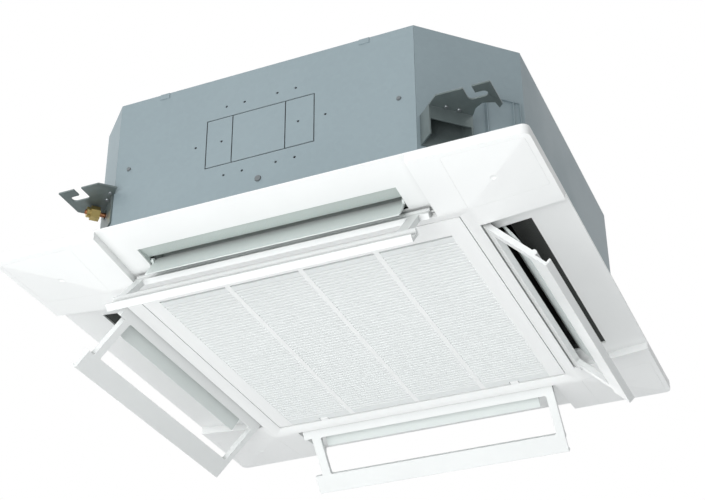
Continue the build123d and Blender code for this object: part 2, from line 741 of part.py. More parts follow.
def make_bell_mouth():
    """Square plate with a rounded funnel that leads the air into the fan."""
    curve = BELL_MOUTH_R - BELL_THROAT_R
    base = PAN_LEDGE_Z - BELL_T
    top = base + curve
    wet = curve * sqrt(0.5)
    dry = (curve - BELL_T) * sqrt(0.5)
    with BuildPart() as bell:
        with BuildSketch(Plane.XY.offset(base)):
            RectangleRounded(PAN_OPENING - 2 * BELL_FIT, PAN_OPENING - 2 * BELL_FIT, PAN_CORNER_R)
            Circle(BELL_MOUTH_R, mode=Mode.SUBTRACT)
        extrude(amount=BELL_T)
        with BuildSketch(Plane.XZ):
            with BuildLine():
                ThreePointArc((BELL_MOUTH_R, base), (BELL_MOUTH_R - wet, top - wet), (BELL_THROAT_R, top))
                Line((BELL_THROAT_R, top), (BELL_THROAT_R, top + BELL_LIP_H))
                Line((BELL_THROAT_R, top + BELL_LIP_H), (BELL_THROAT_R + BELL_T, top + BELL_LIP_H))
                Line((BELL_THROAT_R + BELL_T, top + BELL_LIP_H), (BELL_THROAT_R + BELL_T, top))
                ThreePointArc(
                    (BELL_THROAT_R + BELL_T, top),
                    (BELL_MOUTH_R - dry, top - dry),
                    (BELL_MOUTH_R, base + BELL_T),
                )
                Line((BELL_MOUTH_R, base + BELL_T), (BELL_MOUTH_R, base))
            make_face()
        revolve(axis=Axis.Z)
    save(bell.part, "bell_mouth")


def make_coil_fins():
    """Finned block of the heat exchanger, bent round three corners and open at the fourth."""
    with BuildPart() as fins:
        with BuildSketch(Plane.XY.offset(TROUGH_FLOOR)):
            RectangleRounded(2 * COIL_OUTER, 2 * COIL_OUTER, COIL_BEND_R)
            inner = 2 * (COIL_OUTER - COIL_DEPTH)
            RectangleRounded(inner, inner, COIL_BEND_R - COIL_DEPTH, mode=Mode.SUBTRACT)
            with Locations((-COIL_GAP_FROM, -COIL_GAP_FROM)):
                Rectangle(PANEL, PANEL, align=(Align.MAX, Align.MAX), mode=Mode.SUBTRACT)
        extrude(amount=COIL_TOP - TROUGH_FLOOR)
    save(fins.part, "coil_fins")


def make_coil_bends():
    """Return bends of the coil's tubes on its two ends."""
    middle = (TROUGH_FLOOR + COIL_TOP) / 2
    with BuildPart() as bends:
        for column in BEND_COLUMNS:
            for index in range(BEND_COUNT):
                height = middle + (index - (BEND_COUNT - 1) / 2) * 2 * BEND_PITCH
                with BuildSketch(Plane.YZ.offset(-COIL_GAP_FROM)):
                    with Locations((-column, height + BEND_PITCH / 2)):
                        Circle(BEND_TUBE_R)
                revolve(axis=Axis((-COIL_GAP_FROM, -column, height), (0, 1, 0)), revolution_arc=-180)
                with BuildSketch(Plane.XZ.offset(COIL_GAP_FROM)):
                    with Locations((-column, height + BEND_PITCH / 2)):
                        Circle(BEND_TUBE_R)
                revolve(axis=Axis((-column, -COIL_GAP_FROM, height), (1, 0, 0)), revolution_arc=180)
    save(bends.part, "coil_bends")


# --- Fan and motor --------------------------------------------------------------------------


def make_turbo_fan():
    """Backward-curved fan: inlet shroud, blades, back plate and a cup that holds the motor."""
    shroud_top = SHROUD_BASE + SHROUD_CURVE
    shroud_r = BELL_THROAT_R + BELL_T + FAN_INLET_GAP
    half = sqrt(0.5)
    with BuildPart() as fan:
        with BuildSketch(Plane.XZ):
            with BuildLine():
                centre = shroud_r + SHROUD_CURVE
                upper = ThreePointArc(
                    (shroud_r, SHROUD_BASE),
                    (centre - SHROUD_CURVE * half, SHROUD_BASE + SHROUD_CURVE * half),
                    (centre, shroud_top),
                )
                inner_curve = SHROUD_CURVE - FAN_T
                lower = ThreePointArc(
                    (shroud_r + FAN_T, SHROUD_BASE),
                    (centre - inner_curve * half, SHROUD_BASE + inner_curve * half),
                    (centre, shroud_top - FAN_T),
                )
                Line(upper @ 0, lower @ 0)
                Line(upper @ 1, lower @ 1)
            make_face()
            with BuildLine():
                Polyline(
                    (SHAFT_R + SHAFT_FIT, HUB_BASE),
                    (HUB_R, HUB_BASE),
                    (HUB_R, CUP_FLOOR),
                    (CUP_R, CUP_FLOOR),
                    (CUP_R, FAN_BACK_TOP - FAN_BACK_T),
                    (FAN_R, FAN_BACK_TOP - FAN_BACK_T),
                    (FAN_R, FAN_BACK_TOP),
                    (CUP_R - CUP_WALL, FAN_BACK_TOP),
                    (CUP_R - CUP_WALL, CUP_FLOOR + CUP_WALL),
                    (SHAFT_R + SHAFT_FIT, CUP_FLOOR + CUP_WALL),
                    close=True,
                )
            make_face()
        revolve(axis=Axis.Z)
        with BuildSketch(Plane.XY.offset(shroud_top - 2 * FAN_T)):
            with BuildLine(mode=Mode.PRIVATE) as camber:
                turn = radians(BLADE_SWEEP)
                ThreePointArc(
                    (BLADE_INNER_R, 0),
                    (
                        (BLADE_INNER_R + BLADE_OUTER_R) / 2 * cos(turn * 0.36),
                        -(BLADE_INNER_R + BLADE_OUTER_R) / 2 * sin(turn * 0.36),
                    ),
                    (BLADE_OUTER_R * cos(turn), -BLADE_OUTER_R * sin(turn)),
                )
            with PolarLocations(0, BLADES):
                SlotArc(camber.edge(), BLADE_T)
        extrude(amount=FAN_BACK_TOP - FAN_BACK_T / 2 - shroud_top + 2 * FAN_T)
    save(fan.part, "turbo_fan")


def make_motor_shaft():
    """Shaft from inside the motor down through the fan hub."""
    with BuildPart() as shaft:
        with BuildSketch(Plane.XY.offset(SHAFT_END)):
            Circle(SHAFT_R)
        extrude(amount=SHAFT_TOP - SHAFT_END)
    save(shaft.part, "motor_shaft")


def make_fan_nut():
    """Nut that holds the fan on the shaft."""
    with BuildPart() as nut:
        with BuildSketch(Plane.XY.offset(HUB_BASE)):
            RegularPolygon(NUT_AF / 2, 6, major_radius=False)
            Circle(SHAFT_R + SHAFT_FIT, mode=Mode.SUBTRACT)
        extrude(amount=-NUT_T)
        chamfer(nut.faces().sort_by(Axis.Z)[0].outer_wire().edges(), 0.8)
    save(nut.part, "fan_nut")


def make_fan_motor():
    """Motor can with its mounting flange, blind bore and cooling ribs."""
    with BuildPart() as motor:
        with BuildSketch(Plane.XY.offset(MOTOR_BASE)):
            Circle(MOTOR_R)
        extrude(amount=MOTOR_TOP - MOTOR_BASE)
        fillet(motor.faces().sort_by(Axis.Z)[0].edges(), 6)
        with BuildSketch(Plane.XY.offset(MOTOR_TOP - MOTOR_FLANGE_T)):
            Circle(MOTOR_FLANGE_R)
        extrude(amount=MOTOR_FLANGE_T)
        with BuildSketch(Plane.XY.offset(MOTOR_BASE)):
            Circle(SHAFT_R + RUNNING_FIT)
        extrude(amount=SHAFT_TOP + 1 - MOTOR_BASE, mode=Mode.SUBTRACT)
    save(motor.part, "fan_motor")


def make_motor_bushes():
    """Rubber bushes between the motor flange and its plate."""
    top = CASING_TOP - SHEET - MOTOR_PLATE_T
    with BuildPart() as bushes:
        with BuildSketch(Plane.XY.offset(MOTOR_TOP)):
            with PolarLocations(BUSH_AT, 4, 45):
                Circle(BUSH_R)
        extrude(amount=top - MOTOR_TOP)
    save(bushes.part, "motor_bushes")


def make_motor_plate():
    """Plate under the roof that carries the motor."""
    with BuildPart() as plate:
        with BuildSketch(Plane.XY.offset(CASING_TOP - SHEET - MOTOR_PLATE_T)):
            RectangleRounded(MOTOR_PLATE, MOTOR_PLATE, 10)
        extrude(amount=MOTOR_PLATE_T)
    save(plate.part, "motor_plate")


# --- Pipes and drain ------------------------------------------------------------------------


def make_pipe(name, radius, height):
    """Copper stub through the front left corner of the casing."""
    with BuildPart() as pipe:
        with BuildSketch(chamfer_plane("front_left", -PIPE_IN)):
            with Locations((0, height)):
                Circle(radius)
                Circle(radius - PIPE_BORE_WALL, mode=Mode.SUBTRACT)
        extrude(amount=PIPE_IN + PIPE_OUT + NUT_L)
    save(pipe.part, name)


def make_flare_nuts():
    """Brass flare nuts on the two pipe stubs."""
    with BuildPart() as nuts:
        for radius, across, height in ((GAS_R, GAS_NUT_AF, GAS_Z), (LIQUID_R, LIQUID_NUT_AF, LIQUID_Z)):
            with BuildSketch(chamfer_plane("front_left", NUT_STANDOFF)):
                with Locations((0, height)):
                    RegularPolygon(across / 2, 6, major_radius=False)
                    Circle(radius + SHAFT_FIT, mode=Mode.SUBTRACT)
            extrude(amount=NUT_L * 0.7)
            with BuildSketch(chamfer_plane("front_left", NUT_STANDOFF + NUT_L * 0.7)):
                with Locations((0, height)):
                    Circle(across * 0.42)
                    Circle(radius + SHAFT_FIT, mode=Mode.SUBTRACT)
            extrude(amount=NUT_L * 0.3)
    save(nuts.part, "flare_nuts")


def make_drain_pump():
    """Pump with its motor, column, side outlet and open chamber over the sump."""
    with BuildPart() as pump:
        for radius, base, top in (
            (PUMP_CHAMBER_R, PUMP_CHAMBER_BASE, PUMP_CHAMBER_TOP),
            (PUMP_COLUMN_R, PUMP_CHAMBER_TOP, PUMP_MOTOR_BASE),
            (PUMP_MOTOR_R, PUMP_MOTOR_BASE, PUMP_MOTOR_TOP),
        ):
            with BuildSketch(Plane.XY.offset(base)):
                with Locations((PUMP_X, PUMP_Y)):
                    Circle(radius)
            extrude(amount=top - base)
        with BuildSketch(Plane(origin=(PUMP_X, PUMP_Y, 0), x_dir=(-1, 0, 0), z_dir=(0, 1, 0))):
            with Locations((0, RISER_BASE + RISER_R)):
                Circle(RISER_R - DRAIN_WALL)
        extrude(amount=RISER_Y - RISER_R - PUMP_Y)
        with BuildSketch(Plane.XY.offset(PUMP_CHAMBER_BASE)):
            with Locations((PUMP_X, PUMP_Y)):
                Circle(PUMP_CHAMBER_R - PUMP_WALL)
        extrude(amount=PUMP_CHAMBER_TOP - PUMP_WALL - PUMP_CHAMBER_BASE, mode=Mode.SUBTRACT)
        with BuildSketch(Plane.XY.offset(PUMP_CHAMBER_BASE)):
            with Locations((PUMP_X, PUMP_Y)):
                Circle(IMPELLER_SHAFT_R + RUNNING_FIT)
        extrude(amount=PUMP_MOTOR_BASE + 20 - PUMP_CHAMBER_BASE, mode=Mode.SUBTRACT)
    save(pump.part, "drain_pump")


def make_pump_impeller():
    """Disc with four blades on the pump's shaft."""
    with BuildPart() as impeller:
        with BuildSketch(Plane.XY.offset(IMPELLER_BASE)):
            with Locations((PUMP_X, PUMP_Y)):
                Circle(IMPELLER_R)
        extrude(amount=IMPELLER_T)
        with BuildSketch(Plane.XY.offset(IMPELLER_BASE + IMPELLER_T)):
            with Locations((PUMP_X, PUMP_Y)):
                Rectangle(2 * IMPELLER_R - 1, IMPELLER_T)
                Rectangle(IMPELLER_T, 2 * IMPELLER_R - 1)
        extrude(amount=IMPELLER_BLADE_H)
        with BuildSketch(Plane.XY.offset(IMPELLER_BASE)):
            with Locations((PUMP_X, PUMP_Y)):
                Circle(IMPELLER_SHAFT_R)
        extrude(amount=PUMP_MOTOR_BASE + 10 - IMPELLER_BASE)
    save(impeller.part, "pump_impeller")


def make_drain_socket():
    """Riser from the pump and the hose socket through the back wall."""
    with BuildPart() as socket:
        with BuildSketch(Plane.XY.offset(RISER_BASE)):
            with Locations((RISER_X, RISER_Y)):
                Circle(RISER_R)
        extrude(amount=DRAIN_Z - RISER_BASE)
        with Locations((RISER_X, RISER_Y, DRAIN_Z)):
            Sphere(DRAIN_TUBE_R - RUNNING_FIT)
        for base, radius in ((RISER_Y - back_plane().origin.Y, DRAIN_TUBE_R), (0, DRAIN_R)):
            with BuildSketch(back_plane(base)):
                with Locations((-RISER_X, DRAIN_Z)):
                    Circle(radius)
            extrude(amount=-base if base else DRAIN_OUT)
        with BuildSketch(Plane.XY.offset(RISER_BASE + DRAIN_WALL)):
            with Locations((RISER_X, RISER_Y)):
                Circle(RISER_R - DRAIN_WALL)
        extrude(amount=DRAIN_Z - RISER_BASE - DRAIN_WALL, mode=Mode.SUBTRACT)
        with BuildSketch(back_plane(DRAIN_OUT)):
            with Locations((-RISER_X, DRAIN_Z)):
                Circle(DRAIN_TUBE_R - DRAIN_WALL)
        extrude(amount=RISER_Y - back_plane(DRAIN_OUT).origin.Y, mode=Mode.SUBTRACT)
    save(socket.part, "drain_socket")


def make_float_switch():
    """Stem and mounting tongue of the water level switch."""
    with BuildPart() as switch:
        with BuildSketch(Plane.XY.offset(STEM_BASE)):
            with Locations((FLOAT_X, FLOAT_Y)):
                Circle(STEM_R)
        extrude(amount=PAN_TOP + 8 - STEM_BASE)
        with BuildSketch(Plane.XY.offset(STEM_BASE)):
            with Locations((FLOAT_X, FLOAT_Y)):
                Circle(STEM_R + 1.5)
        extrude(amount=2)
        with BuildSketch(Plane.XY.offset(PAN_TOP)):
            with Locations((FLOAT_X - 14, FLOAT_Y)):
                Rectangle(40, 14)
        extrude(amount=3)
    save(switch.part, "float_switch")


def make_float():
    """Float ring that rises on the switch's stem."""
    with BuildPart() as ring:
        with BuildSketch(Plane.XY.offset(FLOAT_BASE)):
            with Locations((FLOAT_X, FLOAT_Y)):
                Circle(FLOAT_R)
                Circle(STEM_R + RUNNING_FIT, mode=Mode.SUBTRACT)
        extrude(amount=FLOAT_H)
    save(ring.part, "float_ring")


# --- Control box ----------------------------------------------------------------------------


def box_block(inset, base, top):
    """Solid of the control box's outline between two heights, moved inwards by inset."""
    with BuildPart() as block:
        with BuildSketch(Plane.XY.offset(base)):
            with Locations((0, (BOX_Y0 + BOX_Y1) / 2)):
                Rectangle(BOX_W - 2 * inset, BOX_Y1 - BOX_Y0 - 2 * inset)
        extrude(amount=top - base)
    return block.part


def make_control_box():
    """Steel tray, lid, circuit board and terminal block under the bell mouth."""
    top = PAN_LEDGE_Z - BELL_T
    with BuildPart() as tray:
        add(box_block(0, BOX_BASE, top))
        add(box_block(BOX_SHEET, BOX_BASE, top - BOX_SHEET), mode=Mode.SUBTRACT)
    save(tray.part, "control_box")
    with BuildPart() as lid:
        add(box_block(0, BOX_BASE - BOX_SHEET, BOX_BASE))
        with BuildSketch(Plane.XY.offset(BOX_BASE - BOX_SHEET)):
            with Locations((0, (BOX_Y0 + BOX_Y1) / 2)):
                RectangleRounded(BOX_W - 60, BOX_Y1 - BOX_Y0 - 24, 4)
        extrude(amount=-BOX_SHEET)
    save(lid.part, "control_lid")
    with BuildPart() as board:
        add(box_block(BOARD_MARGIN, BOARD_Z, BOARD_Z + BOARD_T))
        with BuildSketch(Plane.XY.offset(BOARD_Z)):
            with Locations((-60, (BOX_Y0 + BOX_Y1) / 2)):
                with GridLocations(46, 24, 3, 2):
                    Rectangle(16, 12)
        extrude(amount=-9)
        with BuildSketch(Plane.XY.offset(BOARD_Z + BOARD_T)):
            with Locations((0, (BOX_Y0 + BOX_Y1) / 2)):
                with GridLocations(BOX_W - 40, BOX_Y1 - BOX_Y0 - 24, 2, 2):
                    Circle(3)
        extrude(amount=top - BOX_SHEET - BOARD_Z - BOARD_T)
    save(board.part, "circuit_board")
    with BuildPart() as block:
        with BuildSketch(Plane.XY.offset(BOARD_Z)):
            with Locations((TERMINALS_X, (BOX_Y0 + BOX_Y1) / 2)):
                Rectangle(58, 22)
        extrude(amount=-14)
        with BuildSketch(Plane.XY.offset(BOARD_Z - 14)):
            with Locations((TERMINALS_X, (BOX_Y0 + BOX_Y1) / 2)):
                with GridLocations(11, 0, 5, 1):
                    Rectangle(8, 14)
        extrude(amount=5, mode=Mode.SUBTRACT)
    save(block.part, "terminal_block")


# --- Decoration panel -----------------------------------------------------------------------


def recess_ceiling(out):
    """Height of the inside of a recess above the draught frame."""
    return under(out) + RECESS_DEPTH


def make_panel_frame():
    """Hollow moulded panel with four recesses, screw bosses, grille lugs and catch notches."""
    pin_y, pin_z = grille_pin()
    with BuildPart() as cavity:
        add(domed_block(SKIN, SKIN))
        add(square_prism(RING_HALF, UNDER_Z, 0), mode=Mode.SUBTRACT)
    with BuildPart() as pockets:
        add(domed_block(0))
        add(domed_block(COVER_T), mode=Mode.SUBTRACT)
        add(cover_columns(COVER_SEAM), mode=Mode.INTERSECT)
    with BuildPart() as pocket_floors:
        add(domed_block(SKIN))
        add(domed_block(COVER_T + SKIN), mode=Mode.SUBTRACT)
        add(cover_columns(SKIN), mode=Mode.INTERSECT)
    with BuildPart() as panel:
        add(domed_block(0))
        add(cavity.part, mode=Mode.SUBTRACT)
        for side in SIDES:
            with BuildSketch(side_plane(side)):
                Polygon(
                    (RECESS_INNER - SKIN, UNDER_Z),
                    (PANEL / 2, under(PANEL / 2)),
                    (PANEL / 2, recess_ceiling(PANEL / 2) + SKIN),
                    (GROOVE_OUTER + SKIN, recess_ceiling(GROOVE_OUTER + SKIN) + SKIN),
                    (GROOVE_OUTER + SKIN, HINGE_TROUGH_Z + SKIN),
                    (RECESS_INNER - SKIN, HINGE_TROUGH_Z + SKIN),
                    align=None,
                )
            extrude(amount=RECESS_HALF + SKIN, both=True)
            with BuildSketch(side_plane(side)):
                Polygon(
                    (RECESS_INNER, UNDER_Z - PANEL),
                    (PANEL, UNDER_Z - PANEL),
                    (PANEL, recess_ceiling(PANEL)),
                    (GROOVE_OUTER, recess_ceiling(GROOVE_OUTER)),
                    (GROOVE_OUTER, HINGE_TROUGH_Z),
                    (RECESS_INNER, HINGE_TROUGH_Z),
                    align=None,
                )
            extrude(amount=RECESS_HALF, both=True, mode=Mode.SUBTRACT)
            with BuildSketch(side_plane(side)):
                with Locations((FRAME_HINGE_OUT, FRAME_HINGE_Z)):
                    Circle(PIN_R + RUNNING_FIT)
            extrude(amount=RECESS_HALF + 2 * SKIN, both=True, mode=Mode.SUBTRACT)
        add(air_ways(UNDER_Z, 0, OUTLET_INNER, OUTLET_OUTER), mode=Mode.SUBTRACT)
        add(pocket_floors.part)
        with BuildSketch(Plane.XY.offset(SCREW_SEAT)):
            with GridLocations(2 * SCREW_AT, 2 * SCREW_AT, 2, 2):
                Circle(BOSS_R)
        extrude(amount=-SCREW_SEAT)
        with BuildSketch(Plane.XY.offset(under(SCREW_AT + BOSS_R) + COVER_T)):
            with GridLocations(2 * SCREW_AT, 2 * SCREW_AT, 2, 2):
                Circle(BOSS_R)
        extrude(amount=SCREW_SEAT - under(SCREW_AT + BOSS_R) - COVER_T)
        with BuildSketch(Plane.XY.offset(UNDER_Z)):
            with GridLocations(2 * SCREW_AT, 2 * SCREW_AT, 2, 2):
                Circle(SCREW_HEAD_R + 1)
        extrude(amount=SCREW_SEAT - UNDER_Z, mode=Mode.SUBTRACT)
        with BuildSketch(Plane.XY.offset(SCREW_SEAT)):
            with GridLocations(2 * SCREW_AT, 2 * SCREW_AT, 2, 2):
                Circle(SCREW_R + 2 * RUNNING_FIT)
        extrude(amount=-SCREW_SEAT, mode=Mode.SUBTRACT)
        add(square_prism(STRIP_OUTER, UNDER_Z, GRILLE_FACE_Z + SKIN))
        with BuildSketch(Plane.XY.offset(UNDER_Z)):
            Rectangle(GRILLE_OPENING, GRILLE_OPENING)
        extrude(amount=-UNDER_Z, mode=Mode.SUBTRACT)
        with BuildSketch(Plane.XY.offset(UNDER_Z)):
            Rectangle(2 * STRIP_OUTER, 2 * STRIP_OUTER)
        with BuildSketch(Plane.XY.offset(GRILLE_FACE_Z)):
            Rectangle(GRILLE_OPENING, GRILLE_OPENING)
        loft(mode=Mode.SUBTRACT)
        add(pockets.part, mode=Mode.SUBTRACT)
        with BuildSketch(Plane.YZ.offset(GRILLE_PIN_X)):
            grille_lug(pin_y, pin_z)
        extrude(amount=LUG_W / 2, both=True)
        with BuildSketch(Plane.YZ.offset(-GRILLE_PIN_X)):
            grille_lug(pin_y, pin_z)
        extrude(amount=LUG_W / 2, both=True)
        with BuildSketch(Plane.YZ.offset(-GRILLE_PIN_X - LUG_W)):
            with Locations((pin_y, pin_z)):
                Circle(GRILLE_PIN_R + RUNNING_FIT)
        extrude(amount=2 * (GRILLE_PIN_X + LUG_W), mode=Mode.SUBTRACT)
        with BuildSketch(Plane.XZ.offset(GRILLE_OPENING / 2)):
            for x in (-CATCH_X, CATCH_X):
                with Locations((x, GRILLE_TOP_Z + CATCH_PLATE_T / 2 + CATCH_CLEAR)):
                    Rectangle(CATCH_PLATE_W + 4 * CATCH_CLEAR, CATCH_PLATE_T + 2 * CATCH_CLEAR)
        extrude(amount=RING_WALL, mode=Mode.SUBTRACT)
    save(panel.part, "panel_frame")


def grille_pin():
    """Axis of the grille's hinge, as y and z."""
    return GRILLE_HALF - GRILLE_T / 2, GRILLE_FACE_Z + GRILLE_T / 2


def grille_lug(pin_y, pin_z):
    """Section of a hinge lug on the back wall of the grille opening."""
    with Locations((pin_y, pin_z)):
        Circle(GRILLE_T / 2)
    with Locations(((pin_y + GRILLE_OPENING / 2) / 2, pin_z)):
        Rectangle(GRILLE_OPENING / 2 - pin_y, GRILLE_T)


def cover_columns(grow):
    """Upright blocks over the four corner covers, larger by grow."""
    size = PANEL / 2 - COVER_MARGIN - COVER_FROM
    middle = COVER_FROM + size / 2
    with BuildPart() as columns:
        with BuildSketch(Plane.XY.offset(UNDER_Z)):
            with GridLocations(2 * middle, 2 * middle, 2, 2):
                RectangleRounded(size + 2 * grow, size + 2 * grow, 4 + grow)
        extrude(amount=-UNDER_Z)
    return columns.part


def make_corner_cover(corner):
    """Thin cover over a panel screw, with a finger dimple."""
    sx, sy = CORNERS[corner]
    with BuildPart() as quarter:
        with BuildSketch(Plane.XY.offset(UNDER_Z)):
            with Locations((sx * PANEL / 2, sy * PANEL / 2)):
                Rectangle(PANEL, PANEL)
        extrude(amount=-UNDER_Z)
        add(cover_columns(0), mode=Mode.INTERSECT)
    with BuildPart() as cover:
        add(domed_block(0))
        add(domed_block(COVER_T), mode=Mode.SUBTRACT)
        add(quarter.part, mode=Mode.INTERSECT)
        with Locations((sx * DIMPLE_AT, sy * DIMPLE_AT, under(DIMPLE_AT) + DIMPLE_DEPTH - DIMPLE_R)):
            Sphere(DIMPLE_R, mode=Mode.SUBTRACT)
    save(cover.part, f"corner_cover_{corner}")


def make_panel_screws():
    """Four screws that hold the panel under the casing's ears."""
    with BuildPart() as screws:
        with BuildSketch(Plane.XY.offset(SCREW_SEAT)):
            with GridLocations(2 * SCREW_AT, 2 * SCREW_AT, 2, 2):
                Circle(SCREW_HEAD_R)
        extrude(amount=-SCREW_HEAD_T)
        with BuildSketch(Plane.XY.offset(SCREW_SEAT)):
            with GridLocations(2 * SCREW_AT, 2 * SCREW_AT, 2, 2):
                Circle(SCREW_R)
        extrude(amount=SCREW_TOP - SCREW_SEAT)
    save(screws.part, "panel_screws")


def make_panel_gasket():
    """Foam seal between the panel's air ways and the casing."""
    half = DUCT_OUTER + 6
    with BuildPart() as gasket:
        with BuildSketch(Plane.XY):
            Rectangle(2 * half, 2 * half)
            Rectangle(2 * RING_HALF - 2 * RING_WALL, 2 * RING_HALF - 2 * RING_WALL, mode=Mode.SUBTRACT)
        extrude(amount=CASING_BASE)
        add(air_ways(0, CASING_BASE), mode=Mode.SUBTRACT)
        with GridLocations(2 * SCREW_AT, 2 * SCREW_AT, 2, 2):
            Cylinder(SCREW_HEAD_R, 4 * CASING_BASE, mode=Mode.SUBTRACT)
        add(casing_prism(0, 0, CASING_BASE), mode=Mode.INTERSECT)
    save(gasket.part, "panel_gasket")


def make_air_outlet(side):
    """Slanted duct from the casing's air way to the outlet in a recess."""
    floor_in = HINGE_TROUGH_Z + SKIN
    floor_out = recess_ceiling(OUTLET_OUTER + DUCT_WALL) + SKIN
    with BuildPart() as duct:
        with BuildSketch(side_plane(side)):
            Polygon(
                (DUCT_INNER - DUCT_WALL, 0),
                (DUCT_OUTER + DUCT_WALL, 0),
                (OUTLET_OUTER + DUCT_WALL, floor_out),
                (OUTLET_INNER - DUCT_WALL, floor_in),
                align=None,
            )
        extrude(amount=OUTLET_HALF + DUCT_WALL, both=True)
        with BuildSketch(side_plane(side)):
            Polygon(
                (DUCT_INNER, 0),
                (DUCT_OUTER, 0),
                (OUTLET_OUTER, floor_out),
                (OUTLET_OUTER, UNDER_Z),
                (OUTLET_INNER, UNDER_Z),
                (OUTLET_INNER, floor_in),
                align=None,
            )
        extrude(amount=OUTLET_HALF, both=True, mode=Mode.SUBTRACT)
        with BuildSketch(side_plane(side)):
            with Locations((LOUVER_OUT, LOUVER_Z)):
                Circle(LOUVER_SHAFT_R + RUNNING_FIT)
        extrude(amount=OUTLET_HALF + 2 * DUCT_WALL, both=True, mode=Mode.SUBTRACT)
    save(duct.part, f"air_outlet_{side}")


def make_louver_motors():
    """Flat gear motors at one end of each louver."""
    wide, high, length = LOUVER_MOTOR
    start = OUTLET_HALF + DUCT_WALL + MOTOR_GAP
    with BuildPart() as motors:
        for side in SIDES:
            with BuildSketch(side_plane(side).offset(start)):
                with Locations((LOUVER_OUT, LOUVER_Z)):
                    RectangleRounded(wide, high, 1.5)
            extrude(amount=length)
            with BuildSketch(side_plane(side).offset(start)):
                with Locations((LOUVER_OUT, LOUVER_Z)):
                    Circle(LOUVER_SHAFT_R + RUNNING_FIT)
            extrude(amount=SHAFT_BITE + 1, mode=Mode.SUBTRACT)
    save(motors.part, "louver_motors")


def make_frame_motors():
    """Gear motors at one end of each draught frame."""
    start = -RECESS_HALF - SKIN - MOTOR_GAP
    out = sum(FRAME_MOTOR_OUT) / 2
    middle = sum(FRAME_MOTOR_Z) / 2
    with BuildPart() as motors:
        for side in SIDES:
            with BuildSketch(side_plane(side).offset(start)):
                with Locations((out, middle)):
                    Rectangle(FRAME_MOTOR_OUT[1] - FRAME_MOTOR_OUT[0], FRAME_MOTOR_Z[1] - FRAME_MOTOR_Z[0])
            extrude(amount=-FRAME_MOTOR_L)
            with BuildSketch(side_plane(side).offset(start)):
                with Locations((FRAME_HINGE_OUT, FRAME_HINGE_Z)):
                    Circle(PIN_R + RUNNING_FIT)
            extrude(amount=-PIN_BITE - 1, mode=Mode.SUBTRACT)
    save(motors.part, "frame_motors")


# --- Moving louvers and draught frames ------------------------------------------------------


def make_louver(side):
    """Air louver at its open tilt: a shallow lens in section, hung on two shaft ends by lugs."""
    edge = LOUVER_EDGE_T / 2
    middle = (LOUVER_OUTER - LOUVER_INNER) / 2
    shaft = side_plane(side, LOUVER_OUT, LOUVER_Z, LOUVER_OPEN)
    drive_end = OUTLET_HALF + DUCT_WALL + MOTOR_GAP + SHAFT_BITE
    with BuildPart() as louver:
        with BuildSketch(shaft):
            with BuildLine():
                low = -LOUVER_DROP - edge
                high = -LOUVER_DROP + edge
                ThreePointArc((-LOUVER_INNER, low), (middle, low - LOUVER_BELLY), (LOUVER_OUTER, low))
                Line((LOUVER_OUTER, low), (LOUVER_OUTER, high))
                ThreePointArc((LOUVER_OUTER, high), (middle, high + LOUVER_BELLY / 4), (-LOUVER_INNER, high))
                Line((-LOUVER_INNER, high), (-LOUVER_INNER, low))
            make_face()
        extrude(amount=LOUVER_HALF, both=True)
        for end in (-LOUVER_HALF - LOUVER_LUG_OUT, LOUVER_HALF + LOUVER_LUG_OUT - LOUVER_LUG_T):
            with BuildSketch(shaft.offset(end)):
                Circle(LOUVER_LUG_R)
                with Locations((0, -LOUVER_DROP / 2)):
                    Rectangle(2 * LOUVER_LUG_R, LOUVER_DROP + edge)
            extrude(amount=LOUVER_LUG_T)
        for start, end in ((LOUVER_HALF, drive_end), (-LOUVER_HALF, -OUTLET_HALF - DUCT_WALL)):
            with BuildSketch(shaft.offset(start)):
                Circle(LOUVER_SHAFT_R)
            extrude(amount=end - start)
    save(louver.part, f"louver_{side}")


